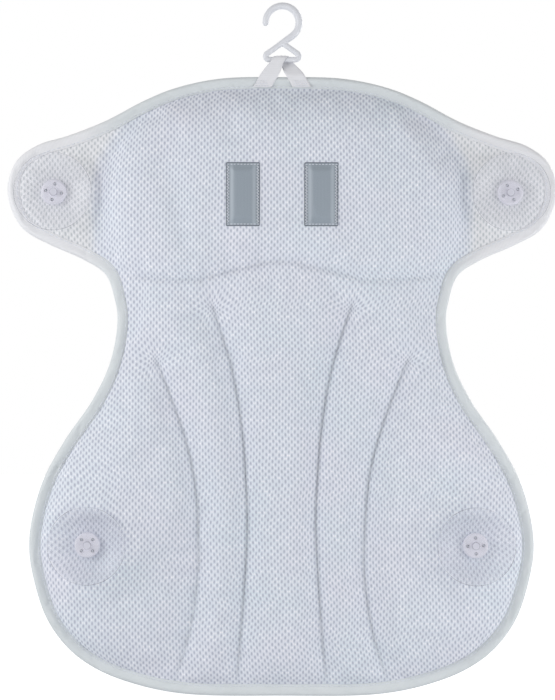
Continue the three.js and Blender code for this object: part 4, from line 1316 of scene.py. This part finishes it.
def makeLoop():
    facts = loopFacts
    bar = np.array([0, facts["drop"]])
    reach = facts["wrap"] + facts["thickness"] / 2

    # The point where a leg leaves the bar: it touches the circle round the bar.
    def touch(bend, side):
        away = bend - bar
        opening = math.degrees(math.acos(reach / np.linalg.norm(away)))
        return math.degrees(math.atan2(away[1], away[0])) + side * opening

    frontBend = np.array([facts["face"] - facts["thickness"] / 2, facts["bend"]])
    start, end = touch(frontBend, -1), touch(frontBend, 1)
    wrap = arcPoints(bar, reach, start, end - 360, 40)
    foot = np.array([[frontBend[0], -facts["foot"]]])
    rough = np.vstack([foot, foot + (0, 4), [frontBend], wrap, [frontBend], foot + (0, 4), foot])
    lengths = runLengths(rough)
    wrapStart, wrapEnd = lengths[3], lengths[3 + len(wrap) - 1]
    path = evenly(rough, facts["pitch"])
    for _ in range(3):
        path[1:-1] = (path[:-2] + 2 * path[1:-1] + path[2:]) / 4
    at = runLengths(path) * lengths[-1] / runLengths(path)[-1]
    # Each leg stays beside the bar until it is past the eye's rod, and only then spreads.
    turnsOut = [0, wrapStart - facts["clearOfEye"], wrapEnd + facts["clearOfEye"], lengths[-1]]
    middles = np.interp(at, turnsOut, [-facts["spread"], -facts["atBar"], facts["atBar"], facts["spread"]])
    nearBar = smoothStep(at, wrapStart - facts["narrows"], wrapStart)
    nearBar *= 1 - smoothStep(at, wrapEnd, wrapEnd + facts["narrows"])
    widths = facts["footWidth"] + (facts["barWidth"] - facts["footWidth"]) * nearBar
    along = np.gradient(path, axis=0)
    along /= np.linalg.norm(along, axis=1)[:, None]
    out = np.column_stack([-along[:, 1], along[:, 0]])
    across = np.linspace(-1, 1, 11)
    corners, weave = [], []
    for point, normal, middle, width, s, near in zip(path, out, middles, widths, at, nearBar):
        ring, places = [], []
        for layer in (1, -1):
            for u in across[::layer]:
                ripple = facts["gather"] * near * math.cos(facts["gathers"] * math.pi * u)
                ripple += facts["dish"] * math.cos(math.pi * u)
                place = point + normal * (layer * facts["thickness"] / 2 + ripple)
                ring.append((middle + u * width / 2, place[0], place[1] + padFacts["top"]))
                places.append((u * facts["width"] / 2, s, 0))
        corners += ring
        weave += places
    piece = makePiece(
        "hangingLoop", corners, ringFaces(len(path), 2 * len(across), False, True), grosgrain, "pillow",
        ["hanging_loop"], weave,
    )
    faceOutwards(piece)
    print("loop is cut", round(float(at[-1]), 1), "mm long")
    # Each end is sewn to the binding with rows of stitches.
    stitches = []
    outer = facts["face"] - facts["thickness"] - facts["threadAbove"]
    reaches = np.linspace(-facts["rowReach"], facts["rowReach"], 8)
    for side in (-1, 1):
        for rise in facts["rows"]:
            middle = side * facts["spread"] - facts["rowLean"] * (rise + facts["foot"])
            row = np.array([(middle + reach, outer, rise + padFacts["top"]) for reach in reaches])
            facings = np.tile((0.0, -1.0, 0.0), (len(row), 1))
            stitches += runningStitches(row, facings, facts["stitch"], facts["gap"])
    makeThread("loopThread", stitches, facts["radius"], facts["lift"])


makeLoop()
print("loop made")

# Suction cups and sewn plates

cupFacts = {
    "sides": 96, "knob": (1.6, 3.8), "knobRadius": 3.4, "knobRound": 0.55, "neckRadius": 2.4,
    "shoulder": 5.7, "shoulderRadius": 8.5, "rim": 16.7, "radius": 30, "rimWall": 1, "lip": 4.5,
    "hollow": 8.7, "bellPower": 1.35, "hollowPower": 1.8,
    "rimShadeWidth": 0.35,  # width of the rim that looks grey edge on
}
plateFacts = {
    "sides": 64, "radius": 9.8, "back": 0.3, "face": 5.3, "rimRoll": 1.1,
    "mouth": 2.8, "socket": 3.8, "socketFront": 4.1, "socketBack": 1.3,
    "hole": 1.2, "circle": 6.1, "holes": 4, "drillFrom": -2, "drillTo": 8,
    "threadDepth": 1.05, "wad": 1.25, "wadReach": 0.7, "wadTurn": 0.5, "wadLift": 0.1,
    # Each plate was sewn on at its own angle.
    "turns": {"left_ear": 80, "right_ear": 25, "left_hip": 45, "right_hip": 2},
}


# Turns a profile of (radius, height) pairs about the line through a place, with heights running towards -Y.
def turned(profile, place, base, sides):
    corners = []
    for radius, height in profile:
        for t in np.linspace(0, 2 * math.pi, sides, endpoint=False):
            x = place[0] + radius * math.cos(t)
            z = place[1] + padFacts["top"] + radius * math.sin(t)
            corners.append((x, base - height, z))
    return corners, ringFaces(len(profile), sides, False, True)


def softened(profile, rounds=2):
    line = np.array(profile, float)
    for _ in range(rounds):
        cut = [line[0]]
        for a, b in zip(line, line[1:]):
            reach = min(0.25, 0.5 / max(np.linalg.norm(b - a), 1e-6))
            cut += [a + (b - a) * reach, b - (b - a) * reach]
        line = np.array(cut + [line[-1]])
    return line


def makeCup(name, place, base):
    facts = cupFacts
    lipRadius = facts["radius"] - facts["lip"]
    share = np.linspace(0, 1, 22)
    bellDepth = facts["rim"] - facts["rimWall"] - facts["shoulder"]
    outside = np.column_stack([
        facts["shoulderRadius"] + (facts["radius"] - facts["shoulderRadius"]) * share,
        facts["shoulder"] + bellDepth * share ** facts["bellPower"],
    ])
    down = np.linspace(1, 0.03, 22)
    hollowDepth = facts["rim"] - facts["hollow"]
    inside = np.column_stack([
        lipRadius * down, facts["hollow"] + hollowDepth * down ** facts["hollowPower"],
    ])
    knobBack, knobFront = facts["knob"]
    knob, neck = facts["knobRadius"], facts["neckRadius"]
    profile = softened([
        (0.1, knobBack), (knob - facts["knobRound"], knobBack), (knob, knobBack + facts["knobRound"]),
        (knob, knobFront), (neck, knobFront), (neck, facts["shoulder"]),
        *outside.tolist(), (facts["radius"], facts["rim"]), *inside.tolist(),
    ])
    side, part = name.split("_")
    corners, faces = turned(profile, place, base, facts["sides"])
    # The vinyl is milky where the knob makes it thick.
    solid = 1 - smoothStep(profile[:, 0], neck - 0.2, knob + 0.2)
    # The rim is marked for its painted grey shade.
    rim = profile[:, 0] > facts["radius"] - facts["rimShadeWidth"]
    marks = {"solid": np.repeat(solid, facts["sides"]), "rim": np.repeat(rim, facts["sides"])}
    label = f"{side}{part.capitalize()}SuctionCup"
    piece = makePiece(
        label, corners, faces, clearVinyl, f"{name}_suction_cup", [f"{name}_cup"], marks=marks,
    )
    faceOutwards(piece)


def makePlate(name, place, base):
    facts = plateFacts
    roll = facts["rimRoll"]
    profile = softened([
        (0.1, facts["back"]), (facts["radius"], facts["back"]), (facts["radius"], facts["face"] - roll),
        (facts["radius"] - roll, facts["face"]), (facts["mouth"], facts["face"]),
        (facts["mouth"], facts["socketFront"]), (facts["socket"], facts["socketFront"]),
        (facts["socket"], facts["socketBack"]), (0.1, facts["socketBack"]),
    ])
    side, part = name.split("_")
    corners, faces = turned(profile, place, base, facts["sides"])
    label = f"{side}{part.capitalize()}SewnPlate"
    piece = makePiece(label, corners, faces, platePlastic, "pillow", [f"{name}_plate"])
    faceOutwards(piece)
    turn = math.radians(facts["turns"][name]) + np.arange(facts["holes"]) * 2 * math.pi / facts["holes"]
    spots = np.column_stack([np.cos(turn), np.sin(turn)]) * facts["circle"] + place
    drillCorners, drillFaces = [], []
    drillProfile = [(facts["hole"], facts["drillFrom"]), (facts["hole"], facts["drillTo"])]
    for spot in spots:
        holeCorners, holeFaces = turned(drillProfile, spot, base, 24)
        drillFaces += [tuple(k + len(drillCorners) for k in face) for face in holeFaces]
        drillCorners += holeCorners
    drillMesh = bpy.data.meshes.new("drill")
    drillMesh.from_pydata((np.array(drillCorners) * mm).tolist(), [], drillFaces)
    drill = bpy.data.objects.new("drill", drillMesh)
    bpy.context.scene.collection.objects.link(drill)
    faceOutwards(drill)
    cut = piece.modifiers.new("stitchHoles", "BOOLEAN")
    cut.operation = "DIFFERENCE"
    cut.solver = "EXACT"
    cut.object = drill
    settleShape(piece)
    bpy.data.objects.remove(drill)
    piece.data.shade_smooth()
    piece.data.set_sharp_from_angle(angle=math.radians(35))
    # A wad of thread fills each hole almost to the plate's face.
    stitches = []
    for spot, angle in zip(spots, turn + facts["wadTurn"]):
        reach = np.array([math.cos(angle), 0, math.sin(angle)]) * facts["wadReach"]
        middle = np.array([spot[0], base - facts["face"] + facts["threadDepth"], spot[1] + padFacts["top"]])
        stitches.append((middle - reach, middle + reach, np.array((0.0, -1.0, 0.0))))
    label = f"{side}{part.capitalize()}PlateThread"
    makeThread(label, stitches, facts["wad"], facts["wadLift"])


for name, place in cupPlaces.items():
    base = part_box(f"{name}_plate")[1].y / mm + plateFacts["back"]
    makeCup(name, place, base)
    makePlate(name, place, base)
print("cups and plates made")

# Studio

studioFacts = {
    "floor": -620, "floorColour": "#eceef0", "background": 0.455,
    "glowFrom": 0.25, "glowTo": 1.1,  # metres from the middle of the floor
    "glowNear": 0.12, "glowFar": 0.8,
    "aim": (0, 0, -0.28),
}
lampFacts = {
    "keyLamp": {"place": (-0.9, -0.55, -0.02), "size": 0.6, "power": 5.5},
    "fillLamp": {"place": (0.9, -0.55, -0.32), "size": 0.6, "power": 4.05},
    "backLamp": {"place": (0.75, 0.8, 0.1), "size": 0.8, "power": 4.5},  # lights the bather's side
}


# One for rays from the camera, in mirrors and through clear plastic, which meet plain white, or else nought
def whiteRays(tree):
    path = addNode(tree, "ShaderNodeLightPath")
    either = addNode(tree, "ShaderNodeMath", {"operation": "MAXIMUM"}, {
        0: path.outputs["Is Camera Ray"], 1: path.outputs["Is Glossy Ray"],
    })
    return addNode(tree, "ShaderNodeMath", {"operation": "MAXIMUM"}, {
        0: either.outputs[0], 1: path.outputs["Is Transmission Ray"],
    })


# White to those rays, and an even pale light to everything else
def makeWorld():
    world = bpy.data.worlds.new("studio")
    bpy.context.scene.world = world
    world.use_nodes = True
    tree = world.node_tree
    tree.nodes.clear()
    seen = whiteRays(tree)
    light = addNode(tree, "ShaderNodeBackground", inputs={
        "Color": (1, 1, 1, 1), "Strength": studioFacts["background"],
    })
    white = addNode(tree, "ShaderNodeBackground", inputs={"Color": (1, 1, 1, 1), "Strength": 1})
    mixed = addNode(tree, "ShaderNodeMixShader", inputs={
        0: seen.outputs[0], 1: light.outputs[0], 2: white.outputs[0],
    })
    addNode(tree, "ShaderNodeOutputWorld", inputs={"Surface": mixed.outputs[0]})


def makeFloor():
    material = bpy.data.materials.new("paleFloor")
    material.use_nodes = True
    tree = material.node_tree
    tree.nodes.clear()
    matt = addNode(tree, "ShaderNodeBsdfDiffuse", inputs={"Color": toLinear(studioFacts["floorColour"])})
    seen = whiteRays(tree)
    place = addNode(tree, "ShaderNodeTexCoord").outputs["Object"]
    away = addNode(tree, "ShaderNodeVectorMath", {"operation": "LENGTH"}, {0: place})
    # The floor glows more away from the object, so that it meets the white background unseen.
    glow = addNode(tree, "ShaderNodeMapRange", {"interpolation_type": "SMOOTHSTEP"}, {
        "Value": away.outputs["Value"],
        "From Min": studioFacts["glowFrom"], "From Max": studioFacts["glowTo"],
        "To Min": studioFacts["glowNear"], "To Max": studioFacts["glowFar"],
    })
    strength = addNode(tree, "ShaderNodeMath", {"operation": "MULTIPLY"}, {
        0: glow.outputs[0], 1: seen.outputs[0],
    })
    light = addNode(tree, "ShaderNodeEmission", inputs={"Strength": strength.outputs[0]})
    both = addNode(tree, "ShaderNodeAddShader", inputs={0: matt.outputs[0], 1: light.outputs[0]})
    addNode(tree, "ShaderNodeOutputMaterial", inputs={"Surface": both.outputs[0]})
    mesh = bpy.data.meshes.new("floor")
    mesh.from_pydata([(-6, -6, 0), (6, -6, 0), (6, 6, 0), (-6, 6, 0)], [], [(0, 1, 2, 3)])
    mesh.materials.append(material)
    floor = bpy.data.objects.new("floor", mesh)
    floor.location.z = studioFacts["floor"] * mm
    bpy.context.scene.collection.objects.link(floor)


def addLamp(name, facts):
    data = bpy.data.lights.new(name, "AREA")
    data.shape = "SQUARE"
    data.size = facts["size"]
    data.energy = facts["power"]
    lamp = bpy.data.objects.new(name, data)
    lamp.location = facts["place"]
    towards = Vector(studioFacts["aim"]) - Vector(facts["place"])
    lamp.rotation_euler = towards.to_track_quat("-Z", "Y").to_euler()
    bpy.context.scene.collection.objects.link(lamp)


makeWorld()
makeFloor()
for name, facts in lampFacts.items():
    addLamp(name, facts)
print("studio made")
